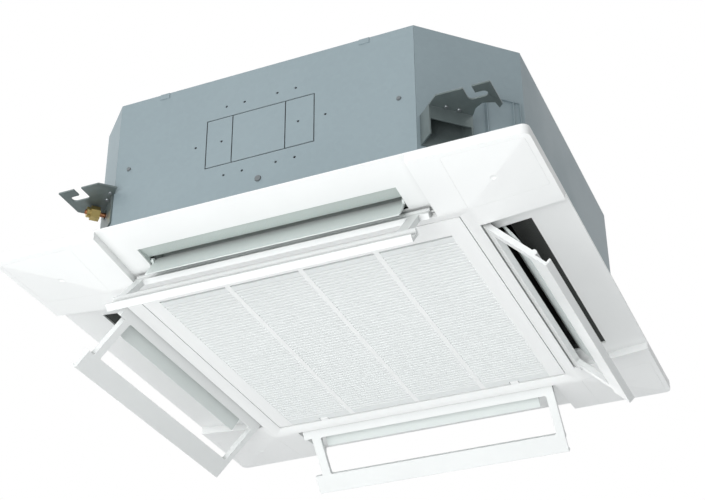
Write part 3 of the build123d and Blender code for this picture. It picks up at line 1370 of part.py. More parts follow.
def make_draft_frame(side):
    """Draught frame at its open tilt: hinge strip, two arms, and an outer bar with bead and lip."""
    show_depth = FRAME_HINGE_Z - under(FRAME_HINGE_OUT)
    length = (PANEL / 2 - FRAME_HINGE_OUT) * sqrt(1 + DOME_SLOPE**2) + FRAME_PROUD
    hinge = side_plane(side, FRAME_HINGE_OUT, FRAME_HINGE_Z, FRAME_OPEN[side])
    show = Plane(origin=hinge.origin - hinge.y_dir * show_depth, x_dir=hinge.x_dir, z_dir=hinge.y_dir)
    bar = length - FRAME_BAR_W
    groove = bar + FRAME_BEAD_R + FRAME_BEAD_R * 0.8
    arm_in, arm_out = FRAME_DRIVE_ARM
    plain = FRAME_ARM_W - FRAME_HALF
    drive_end = -RECESS_HALF - SKIN - MOTOR_GAP - PIN_BITE
    with BuildPart() as draft:
        with BuildSketch(show):
            with Locations((length / 2, 0)):
                Rectangle(length, 2 * FRAME_HALF)
            with Locations(((FRAME_HINGE_W + bar) / 2, (plain + arm_in) / 2)):
                RectangleRounded(bar - FRAME_HINGE_W, arm_in - plain, 3, mode=Mode.SUBTRACT)
            with Locations(((FRAME_HINGE_W + bar) / 2, (arm_out + FRAME_HALF) / 2)):
                Rectangle(bar - FRAME_HINGE_W, FRAME_HALF - arm_out, mode=Mode.SUBTRACT)
        extrude(amount=FRAME_T)
        with BuildSketch(show.offset(FRAME_PLATE_T)):
            with Locations(((groove + length) / 2, 0)):
                Rectangle(length - groove, 2 * FRAME_HALF)
        extrude(amount=FRAME_T, mode=Mode.SUBTRACT)
        with BuildSketch(hinge):
            with Locations((length - FRAME_LIP_T / 2, (FRAME_BACK - show_depth) / 2)):
                Rectangle(FRAME_LIP_T, FRAME_BACK + show_depth)
            with Locations((bar + FRAME_BEAD_R, FRAME_BACK - FRAME_BEAD_R)):
                Circle(FRAME_BEAD_R)
        extrude(amount=FRAME_HALF, both=True)
        along = draft.edges().filter_by(Axis((0, 0, 0), hinge.z_dir))
        fillet(along.sort_by(Axis(show.origin, hinge.x_dir))[-2:], FRAME_ROUND / 2)
        with BuildSketch(hinge):
            Circle(show_depth)
        extrude(amount=FRAME_HALF, both=True)
        for end in (drive_end, RECESS_HALF + SKIN):
            with BuildSketch(hinge):
                Circle(PIN_R)
            extrude(amount=end)
    save(draft.part, f"draft_frame_{side}")


# --- Intake grille --------------------------------------------------------------------------


def make_intake_grille():
    """Hinged grille with four bays of fine slots, catch windows and hinge notches."""
    pin_y, pin_z = grille_pin()
    field_w = 2 * (GRILLE_HALF - GRILLE_SIDE_BORDER)
    bay_w = (field_w - (BAYS - 1) * BAY_RIB) / BAYS
    front = -GRILLE_HALF + GRILLE_FRONT_BORDER
    back = GRILLE_HALF - GRILLE_BACK_BORDER
    rows = int((back - front - 2 * VENT_W - SLOT_LEAN) / SLOT_PITCH)
    first = front + 2 * VENT_W + SLOT_LEAN
    catch_y = -GRILLE_HALF + CATCH_FROM_EDGE
    with BuildPart() as grille:
        with BuildSketch(Plane.XY.offset(GRILLE_FACE_Z)):
            Rectangle(2 * GRILLE_HALF, 2 * GRILLE_HALF)
            with Locations((0, front + VENT_W / 2)):
                with GridLocations(bay_w + BAY_RIB, 0, BAYS, 1):
                    Rectangle(bay_w, VENT_W, mode=Mode.SUBTRACT)
            for x in (-CATCH_X, CATCH_X):
                with Locations((x, catch_y + (CATCH_L + CATCH_TRAVEL - CATCH_LOCK) / 2)):
                    window_l = CATCH_L + CATCH_TRAVEL + CATCH_LOCK + 2 * CATCH_CLEAR
                    Rectangle(CATCH_W + 2 * CATCH_CLEAR, window_l, mode=Mode.SUBTRACT)
        extrude(amount=GRILLE_T)
        for bay in range(BAYS):
            middle = (bay - (BAYS - 1) / 2) * (bay_w + BAY_RIB)
            with BuildSketch(Plane.YZ.offset(middle)):
                for row in range(rows):
                    with Locations((first + row * SLOT_PITCH, GRILLE_FACE_Z)):
                        Polygon(
                            (0, 0),
                            (SLOT_W, 0),
                            (SLOT_W - SLOT_LEAN, GRILLE_T),
                            (-SLOT_LEAN, GRILLE_T),
                            align=None,
                        )
            extrude(amount=bay_w / 2, both=True, mode=Mode.SUBTRACT)
        edge = grille.edges().filter_by(Axis.X).group_by(Axis.Y)[-1]
        fillet(edge, GRILLE_T / 2 - 0.1)
        for x in (-GRILLE_PIN_X, GRILLE_PIN_X):
            with BuildSketch(Plane.XY.offset(GRILLE_FACE_Z)):
                with Locations((x, GRILLE_HALF)):
                    Rectangle(LUG_W + 2 * LUG_GAP, 2 * (GRILLE_T + LUG_GAP))
            extrude(amount=GRILLE_T, mode=Mode.SUBTRACT)
            with BuildSketch(Plane.YZ.offset(x)):
                with Locations((pin_y, pin_z)):
                    Circle(GRILLE_PIN_R + SHAFT_FIT)
            extrude(amount=GRILLE_PIN_L / 2, both=True, mode=Mode.SUBTRACT)
    save(grille.part, "intake_grille")


def make_grille_hinge_pins():
    """Two pins through the grille and the panel's lugs."""
    pin_y, pin_z = grille_pin()
    with BuildPart() as pins:
        for x in (-GRILLE_PIN_X, GRILLE_PIN_X):
            with BuildSketch(Plane.YZ.offset(x)):
                with Locations((pin_y, pin_z)):
                    Circle(GRILLE_PIN_R)
            extrude(amount=GRILLE_PIN_L / 2, both=True)
    save(pins.part, "grille_hinge_pins")


def make_air_filter():
    """Washable filter on the back of the grille: a rim, ribs and a thin mesh sheet."""
    front = -GRILLE_HALF + GRILLE_FRONT_BORDER - 4
    back = GRILLE_HALF - GRILLE_T - LUG_GAP - 3
    half = GRILLE_HALF - GRILLE_SIDE_BORDER + 4
    cell_x = (2 * half - 2 * FILTER_BORDER - 3 * 3) / 4
    cell_y = (back - front - 2 * FILTER_BORDER - 3 * 3) / 4
    with BuildPart() as filter_sheet:
        with BuildSketch(Plane.XY.offset(GRILLE_TOP_Z)):
            with Locations((0, (front + back) / 2)):
                Rectangle(2 * half, back - front)
        extrude(amount=FILTER_T)
        with BuildSketch(Plane.XY.offset(GRILLE_TOP_Z + FILTER_MESH_T)):
            with Locations((0, (front + back) / 2)):
                with GridLocations(cell_x + 3, cell_y + 3, 4, 4):
                    Rectangle(cell_x, cell_y)
        extrude(amount=FILTER_T, mode=Mode.SUBTRACT)
    save(filter_sheet.part, "air_filter")


def make_grille_catch(name, x):
    """Sliding catch: a ridged thumb piece in the grille and the bolt above it."""
    catch_y = -GRILLE_HALF + CATCH_FROM_EDGE
    bolt_end = -GRILLE_OPENING / 2 + CATCH_CLEAR
    with BuildPart() as catch:
        with BuildSketch(Plane.XY.offset(GRILLE_FACE_Z)):
            with Locations((x, catch_y + CATCH_L / 2)):
                Rectangle(CATCH_W, CATCH_L)
                with GridLocations(0, 3, 1, 3):
                    Rectangle(CATCH_W - 6, 1, mode=Mode.SUBTRACT)
        extrude(amount=1)
        with BuildSketch(Plane.XY.offset(GRILLE_FACE_Z + 1)):
            with Locations((x, catch_y + CATCH_L / 2)):
                Rectangle(CATCH_W, CATCH_L)
        extrude(amount=GRILLE_T - 1 + CATCH_CLEAR)
        with BuildSketch(Plane.XY.offset(GRILLE_TOP_Z + CATCH_CLEAR)):
            with Locations((x, (bolt_end + catch_y + CATCH_L) / 2)):
                Rectangle(CATCH_PLATE_W, catch_y + CATCH_L - bolt_end)
        extrude(amount=CATCH_PLATE_T)
    save(catch.part, name)


make_casing_wall()
make_duct_knockout()
make_casing_top()
make_foam_liner()
make_casing_screws()
make_service_plate()
make_cable_grommet()
for corner_name in CORNERS:
    make_hanger_bracket(corner_name)
make_bracket_rivets()
make_drain_pan()
make_bell_mouth()
make_coil_fins()
make_coil_bends()
make_turbo_fan()
make_motor_shaft()
make_fan_nut()
make_fan_motor()
make_motor_bushes()
make_motor_plate()
make_pipe("gas_pipe", GAS_R, GAS_Z)
make_pipe("liquid_pipe", LIQUID_R, LIQUID_Z)
make_flare_nuts()
make_drain_pump()
make_pump_impeller()
make_drain_socket()
make_float_switch()
make_float()
make_control_box()
make_panel_frame()
for corner_name in CORNERS:
    make_corner_cover(corner_name)
make_panel_screws()
make_panel_gasket()
for side_name in SIDES:
    make_air_outlet(side_name)
make_louver_motors()
make_frame_motors()
for side_name in SIDES:
    make_louver(side_name)
    make_draft_frame(side_name)
make_intake_grille()
make_grille_hinge_pins()
make_air_filter()
make_grille_catch("grille_catch_left", -CATCH_X)
make_grille_catch("grille_catch_right", CATCH_X)
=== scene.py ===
"""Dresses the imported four-way ceiling cassette and sets its studio.

Everything is in metres in the row frame: the origin is the panel's centre on the ceiling plane,
+Z points up into the ceiling void and the front of the unit faces -Y.
"""

from __future__ import annotations

import json
import logging
import math
from collections.abc import Callable
from dataclasses import dataclass
from enum import Enum

import bpy
from mathutils import Matrix, Vector


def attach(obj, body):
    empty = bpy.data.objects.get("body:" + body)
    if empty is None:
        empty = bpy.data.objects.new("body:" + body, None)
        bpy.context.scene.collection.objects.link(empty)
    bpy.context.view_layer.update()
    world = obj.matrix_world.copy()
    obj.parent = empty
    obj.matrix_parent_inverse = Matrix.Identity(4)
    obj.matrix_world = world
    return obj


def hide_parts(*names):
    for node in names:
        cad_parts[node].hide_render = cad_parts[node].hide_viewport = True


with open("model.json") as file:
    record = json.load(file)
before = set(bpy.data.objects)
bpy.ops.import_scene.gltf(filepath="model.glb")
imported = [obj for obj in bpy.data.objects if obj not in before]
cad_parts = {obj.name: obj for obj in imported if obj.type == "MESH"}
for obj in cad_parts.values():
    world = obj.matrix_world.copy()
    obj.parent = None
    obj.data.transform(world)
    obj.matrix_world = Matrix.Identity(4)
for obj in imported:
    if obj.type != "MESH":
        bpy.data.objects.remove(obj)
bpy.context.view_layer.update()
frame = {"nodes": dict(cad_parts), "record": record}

log = logging.getLogger("cassette")

MM = 0.001
SIDES = ("front", "right", "back", "left")
CORNERS = ("front_right", "back_right", "back_left", "front_left")

Colour = tuple[float, float, float]
Socket = bpy.types.NodeSocket


# --- Sizes that finishes share with the construction ----------------------------------------


# The grille's slotted bays: their pitch across, and where the outer ones and their slots end.
BAY_PITCH = 103.15 * MM
BAY_EDGE = 202.8 * MM
BAY_FRONT = -189.8 * MM
BAY_BLUR = 0.4 * MM
RIB_FADE = (3.2 * MM, 3.8 * MM)

# The left and right air ways: their inner wall's distance across, their half length, and the
# heights between which the duct foam turns to painted shade.
AIR_WAY_FROM = 232 * MM
AIR_WAY_HALF = 178 * MM
AIR_WAY_FADE = (-18 * MM, -8 * MM)


# --- Node graph helpers ---------------------------------------------------------------------


class Graph:
    """A node tree with short calls for adding and linking nodes."""

    def __init__(self, tree: bpy.types.NodeTree) -> None:
        """Start from an empty tree.

        Args:
            tree: the node tree of a material, a world or a group.
        """
        self.tree = tree
        tree.nodes.clear()

    def set(self, socket: Socket, value: Socket | Colour | float) -> None:
        """Link a socket to another one, or give it a value.

        Args:
            socket: the input socket.
            value: a socket to link from, a colour, a vector or a number.
        """
        if isinstance(value, Socket):
            self.tree.links.new(value, socket)
        elif socket.type == "RGBA" and len(value) == 3:
            socket.default_value = (*value, 1.0)
        else:
            socket.default_value = value

    def add(self, kind: str, inputs: dict | None = None, **settings: object) -> bpy.types.Node:
        """Add a node.

        Args:
            kind: Blender's node type name.
            inputs: socket values or the sockets to link them from, by name or number.
            settings: attributes of the node.

        Returns:
            The new node.
        """
        node = self.tree.nodes.new(kind)
        for key, value in settings.items():
            setattr(node, key, value)
        for key, value in (inputs or {}).items():
            self.set(node.inputs[key], value)
        return node

    def place(self) -> Socket:
        """Add the object's own coordinates.

        Returns:
            The coordinates' socket.
        """
        return self.add("ShaderNodeTexCoord").outputs["Object"]

    def math(self, operation: str, *values: float | Socket, clamp: bool = False) -> Socket:
        """Add a Math node.

        Args:
            operation: the node's operation.
            values: numbers or sockets to work on.
            clamp: whether the result is kept from 0 to 1.

        Returns:
            The result's socket.
        """
        node = self.add("ShaderNodeMath", dict(enumerate(values)), operation=operation, use_clamp=clamp)
        return node.outputs[0]

    def ramp(self, factor: Socket, low: float, high: float) -> Socket:
        """Map a value from low..high to 0..1, clamped and eased.

        Args:
            factor: the value's socket.
            low: the value that gives 0.
            high: the value that gives 1.

        Returns:
            The result's socket.
        """
        inputs = {"Value": factor, "From Min": low, "From Max": high}
        return self.add("ShaderNodeMapRange", inputs, interpolation_type="SMOOTHSTEP").outputs["Result"]

    def mix(self, factor: float | Socket, first: Colour | Socket, second: Colour | Socket) -> Socket:
        """Mix two colours.

        Args:
            factor: number or socket from 0 to 1.
            first: colour or socket at 0.
            second: colour or socket at 1.

        Returns:
            The mixed colour's socket.
        """
        factor_input, first_input, second_input, result = 0, 6, 7, 2
        inputs = {factor_input: factor, first_input: first, second_input: second}
        return self.add("ShaderNodeMix", inputs, data_type="RGBA").outputs[result]


def make_group(name: str, sockets: dict[str, tuple[str, str]], build: Callable) -> bpy.types.NodeTree:
    """Make a shader node group.

    Args:
        name: the group's name.
        sockets: for each socket its way (INPUT or OUTPUT) and its type.
        build: function that is given the graph, the input node and the output node.

    Returns:
        The group's tree.
    """
    tree = bpy.data.node_groups.new(name, "ShaderNodeTree")
    for label, (way, kind) in sockets.items():
        tree.interface.new_socket(name=label, in_out=way, socket_type=kind)
    graph = Graph(tree)
    build(graph, graph.add("NodeGroupInput"), graph.add("NodeGroupOutput"))
    return tree


MOTTLE_DETAIL = 5.0
MOTTLE_RANGE = (0.35, 0.68)
GRAIN_DETAIL = 3.0
GRAIN_ROUGHNESS = 0.6
FLAKE_DARKENING = 0.22
CREVICE_SAMPLES = 6


class Effects:
    """The node groups that several finishes share."""

    def __init__(self) -> None:
        """Build the groups once."""
        value, colour, vector = "NodeSocketFloat", "NodeSocketColor", "NodeSocketVector"
        mask = {"Mask": ("OUTPUT", value)}
        recolour = {
            "Colour": ("INPUT", colour),
            "Amount": ("INPUT", value),
            "Colour Out": ("OUTPUT", colour),
        }
        scale = {"Scale": ("INPUT", value)}
        shade = {"Shade": ("INPUT", colour)}
        grain = {"Stretch": ("INPUT", vector), "Height": ("OUTPUT", value)}
        dust_and_shade = {"DustAndShade": ("INPUT", colour), "Reach": ("INPUT", value)}
        self.mottle = make_group("mottle", {**recolour, **shade, **scale, **mask}, self._mottle)
        self.grain = make_group("grain", {**scale, **grain}, self._grain)
        self.spangle = make_group("spangle", {**recolour, **scale}, self._spangle)
        self.crevice_dust_and_shade = make_group("crevice_dust_and_shade", {**recolour, **dust_and_shade}, self._crevice_dust_and_shade)

    @staticmethod
    def _mottle(graph: Graph, given: bpy.types.Node, out: bpy.types.Node) -> None:
        """Large soft variation between a colour and its shade.

        Args:
            graph: the group's graph.
            given: the group's input node.
            out: the group's output node.
        """
        inputs = {"Vector": graph.place(), "Scale": given.outputs["Scale"], "Detail": MOTTLE_DETAIL}
        noise = graph.add("ShaderNodeTexNoise", inputs)
        mask = graph.ramp(noise.outputs["Fac"], *MOTTLE_RANGE)
        amount = graph.math("MULTIPLY", mask, given.outputs["Amount"])
        mixed = graph.mix(amount, given.outputs["Colour"], given.outputs["Shade"])
        graph.set(out.inputs["Colour Out"], mixed)
        graph.set(out.inputs["Mask"], mask)

    @staticmethod
    def _grain(graph: Graph, given: bpy.types.Node, out: bpy.types.Node) -> None:
        """Fine moulded or rolled grain, stretched along an axis.

        Args:
            graph: the group's graph.
            given: the group's input node.
            out: the group's output node.
        """
        factors = {0: graph.place(), 1: given.outputs["Stretch"]}
        stretched = graph.add("ShaderNodeVectorMath", factors, operation="MULTIPLY")
        inputs = {
            "Vector": stretched.outputs[0],
            "Scale": given.outputs["Scale"],
            "Detail": GRAIN_DETAIL,
            "Roughness": GRAIN_ROUGHNESS,
        }
        noise = graph.add("ShaderNodeTexNoise", inputs)
        graph.set(out.inputs["Height"], noise.outputs["Fac"])

    @staticmethod
    def _spangle(graph: Graph, given: bpy.types.Node, out: bpy.types.Node) -> None:
        """Faint crystal flakes of a zinc coating.

        Args:
            graph: the group's graph.
            given: the group's input node.
            out: the group's output node.
        """
        inputs = {"Vector": graph.place(), "Scale": given.outputs["Scale"]}
        cells = graph.add("ShaderNodeTexVoronoi", inputs)
        grey = graph.add("ShaderNodeRGBToBW", {0: cells.outputs["Color"]}).outputs[0]
        amount = graph.math("MULTIPLY", grey, given.outputs["Amount"])
        darker = graph.mix(FLAKE_DARKENING, given.outputs["Colour"], (0.0, 0.0, 0.0))
        graph.set(out.inputs["Colour Out"], graph.mix(amount, given.outputs["Colour"], darker))

    @staticmethod
    def _crevice_dust_and_shade(graph: Graph, given: bpy.types.Node, out: bpy.types.Node) -> None:
        """Grime and painted shade in corners, darkened by ambient occlusion.

        Args:
            graph: the group's graph.
            given: the group's input node.
            out: the group's output node.
        """
        inputs = {"Distance": given.outputs["Reach"]}
        open_sky = graph.add("ShaderNodeAmbientOcclusion", inputs, samples=CREVICE_SAMPLES)
        mask = graph.math("SUBTRACT", 1.0, open_sky.outputs["AO"])
        amount = graph.math("MULTIPLY", mask, given.outputs["Amount"], clamp=True)
        mixed = graph.mix(amount, given.outputs["Colour"], given.outputs["DustAndShade"])
        graph.set(out.inputs["Colour Out"], mixed)


# --- Finishes -------------------------------------------------------------------------------


class Surface(Enum):
    """How a finish breaks up the light."""

    MOULDED = "moulded"
    ZINC = "zinc"
    FOAM = "foam"
    FINS = "fins"
    TURNED = "turned"
    MESH = "mesh"
    SLATS = "slats"
    DUCT = "duct"


STRETCH = {Surface.ZINC: (0.06, 0.06, 1.0), Surface.TURNED: (1.0, 1.0, 6.0)}
ROUND_GRAIN = (1.0, 1.0, 1.0)
FLAKE_SCALE = 160.0
FLAKE_AMOUNT = 0.16
BEAD_SCALE = 420.0
FOAM_RELIEF = 3.0
DUCT_RELIEF = 2.0
FIN_SCALE = 260.0
FIN_RANGE = (0.2, 0.8)
WEAVE_SCALE = 300.0
WEAVE_RANGE = (0.3, 0.9)
# Dark stripes between the coil's fins: painted shade in the gaps.
FIN_GAP_SHADE: Colour = (0.08, 0.09, 0.10)
# Near-black holes of the filter mesh: painted shade seen through them.
MESH_HOLE_SHADE: Colour = (0.02, 0.02, 0.025)
# The grille's own white on its ribs and border; the slotted bays between keep the greyer grille colour, a
# painted shade of the slots.
RIB_WHITE: Colour = (0.90, 0.915, 0.91)
# Painted shade deep in the left and right air ways.
DUCT_PAINTED_SHADE: Colour = (0.03, 0.033, 0.031)


@dataclass(frozen=True)
class Finish:
    """One real finish, in linear colours and metres."""

    name: str
    colour: Colour
    shade: Colour
    roughness: float
    metallic: float = 0.0
    surface: Surface = Surface.MOULDED
    grain: float = 1400.0
    bump: float = 0.05
    blotch: float = 9.0
    blotch_amount: float = 0.5
    # How much the corners darken, how far and to what tone: grime together with painted shade.
    dust_and_shade: float = 0.25
    dust_and_shade_reach: float = 12 * MM
    dust_and_shade_tone: float = 0.35
    spread: float = 0.12
    coat: float = 0.0
    coat_roughness: float = 0.25
    bump_depth: float = 1 * MM

    def build(self, effects: Effects) -> bpy.types.Material:
        """Make the material.

        Args:
            effects: the shared node groups.

        Returns:
            The finished material.
        """
        material = bpy.data.materials.new(self.name)
        material.use_nodes = True
        graph = Graph(material.node_tree)
        mottle = graph.add(
            "ShaderNodeGroup",
            {"Colour": self.colour, "Shade": self.shade, "Scale": self.blotch, "Amount": self.blotch_amount},
            node_tree=effects.mottle,
        )
        grain = graph.add(
            "ShaderNodeGroup",
            {"Scale": self.grain, "Stretch": STRETCH.get(self.surface, ROUND_GRAIN)},
            node_tree=effects.grain,
        )
        colour, height = self._surface(graph, effects, mottle.outputs["Colour Out"], grain.outputs["Height"])
        # Corners darkened by ambient occlusion: painted shade, with some grime.
        dust_and_shade = graph.add(
            "ShaderNodeGroup",
            {
                "Colour": colour,
                "DustAndShade": tuple(channel * self.dust_and_shade_tone for channel in self.shade),
                "Reach": self.dust_and_shade_reach,
                "Amount": self.dust_and_shade,
            },
            node_tree=effects.crevice_dust_and_shade,
        )
        smoothest = self.roughness - self.spread / 2
        roughness = graph.math("MULTIPLY_ADD", mottle.outputs["Mask"], self.spread, smoothest)
        relief = graph.add(
            "ShaderNodeBump", {"Height": height, "Strength": self.bump, "Distance": self.bump_depth}
        )
        shader = graph.add(
            "ShaderNodeBsdfPrincipled",
            {
                "Base Color": dust_and_shade.outputs["Colour Out"],
                "Metallic": self.metallic,
                "Roughness": roughness,
                "Coat Weight": self.coat,
                "Coat Roughness": self.coat_roughness,
                "Normal": relief.outputs[0],
            },
        )
        graph.add("ShaderNodeOutputMaterial", {0: shader.outputs[0]})
        return material

    def _surface(
        self, graph: Graph, effects: Effects, colour: Socket, height: Socket
    ) -> tuple[Socket, Socket]:
        """Add what is special to this surface.

        Args:
            graph: the material's graph.
            effects: the shared node groups.
            colour: socket of the colour so far.
            height: socket of the height so far.

        Returns:
            The colour's and the height's sockets.
        """
        place = graph.place()
        if self.surface is Surface.ZINC:
            flakes = graph.add(
                "ShaderNodeGroup",
                {"Colour": colour, "Scale": FLAKE_SCALE, "Amount": FLAKE_AMOUNT},
                node_tree=effects.spangle,
            )
            return flakes.outputs["Colour Out"], height
        if self.surface is Surface.FOAM:
            return colour, self._beads(graph, place, FOAM_RELIEF)
        if self.surface is Surface.FINS:
            # The fins' gaps are painted dark: painted shade between the fins.
            stripe = self._wave(graph, place, FIN_SCALE, "DIAGONAL")
            return graph.mix(graph.ramp(stripe, *FIN_RANGE), FIN_GAP_SHADE, colour), stripe
        if self.surface is Surface.MESH:
            # The mesh's holes are painted near black: painted shade behind the weave.
            rows = self._wave(graph, place, WEAVE_SCALE, "X")
            columns = self._wave(graph, place, WEAVE_SCALE, "Y")
            weave = graph.math("MAXIMUM", rows, columns)
            return graph.mix(graph.ramp(weave, *WEAVE_RANGE), MESH_HOLE_SHADE, colour), weave
        if self.surface is Surface.SLATS:
            # The slotted bays are painted greyer than the ribs: painted shade of the slots.
            return graph.mix(self._bays(graph, place), RIB_WHITE, colour), height
        if self.surface is Surface.DUCT:
            # The left and right air ways turn near black above the mouth: painted shade.
            air_way_shade = self._side_air_way_shade(graph, place)
            return graph.mix(air_way_shade, colour, DUCT_PAINTED_SHADE), self._beads(graph, place, DUCT_RELIEF)
        return colour, height

    @staticmethod
    def _beads(graph: Graph, place: Socket, relief: float) -> Socket:
        """Height of expanded foam's beads.

        Args:
            graph: the material's graph.
            place: the coordinates' socket.
            relief: how far the beads stand out.

        Returns:
            The height's socket.
        """
        beads = graph.add("ShaderNodeTexVoronoi", {"Vector": place, "Scale": BEAD_SCALE})
        return graph.math("MULTIPLY", beads.outputs["Distance"], relief)

    @staticmethod
    def _wave(graph: Graph, place: Socket, scale: float, direction: str) -> Socket:
        """Even stripes.

        Args:
            graph: the material's graph.
            place: the coordinates' socket.
            scale: the stripes' scale.
            direction: the axis they cross, or DIAGONAL.

        Returns:
            The stripes' socket.
        """
        inputs = {"Vector": place, "Scale": scale}
        return graph.add("ShaderNodeTexWave", inputs, bands_direction=direction).outputs["Fac"]

    @staticmethod
    def _bays(graph: Graph, place: Socket) -> Socket:
        """Mask of the grille's slotted bays, 0 on its ribs and border.

        Args:
            graph: the material's graph.
            place: the coordinates' socket.

        Returns:
            The mask's socket.
        """
        x, y, _ = graph.add("ShaderNodeSeparateXYZ", {0: place}).outputs
        across = graph.math("ABSOLUTE", x)
        off_rib = graph.ramp(graph.math("PINGPONG", across, BAY_PITCH / 2), *RIB_FADE)
        within = graph.ramp(across, BAY_EDGE + BAY_BLUR, BAY_EDGE - BAY_BLUR)
        behind = graph.ramp(y, BAY_FRONT - BAY_BLUR, BAY_FRONT + BAY_BLUR)
        return graph.math("MULTIPLY", graph.math("MULTIPLY", off_rib, within), behind)

    @staticmethod
    def _side_air_way_shade(graph: Graph, place: Socket) -> Socket:
        """Mask of the painted shade in the left and right air ways above the mouth.

        Args:
            graph: the material's graph.
            place: the coordinates' socket.

        Returns:
            The mask's socket.
        """
        x, y, z = graph.add("ShaderNodeSeparateXYZ", {0: place}).outputs
        across, along = graph.math("ABSOLUTE", x), graph.math("ABSOLUTE", y)
        beside = graph.math("MULTIPLY", across, graph.math("LESS_THAN", along, AIR_WAY_HALF))
        shaded = graph.math("GREATER_THAN", beside, AIR_WAY_FROM)
        return graph.math("MULTIPLY", shaded, graph.ramp(z, *AIR_WAY_FADE))


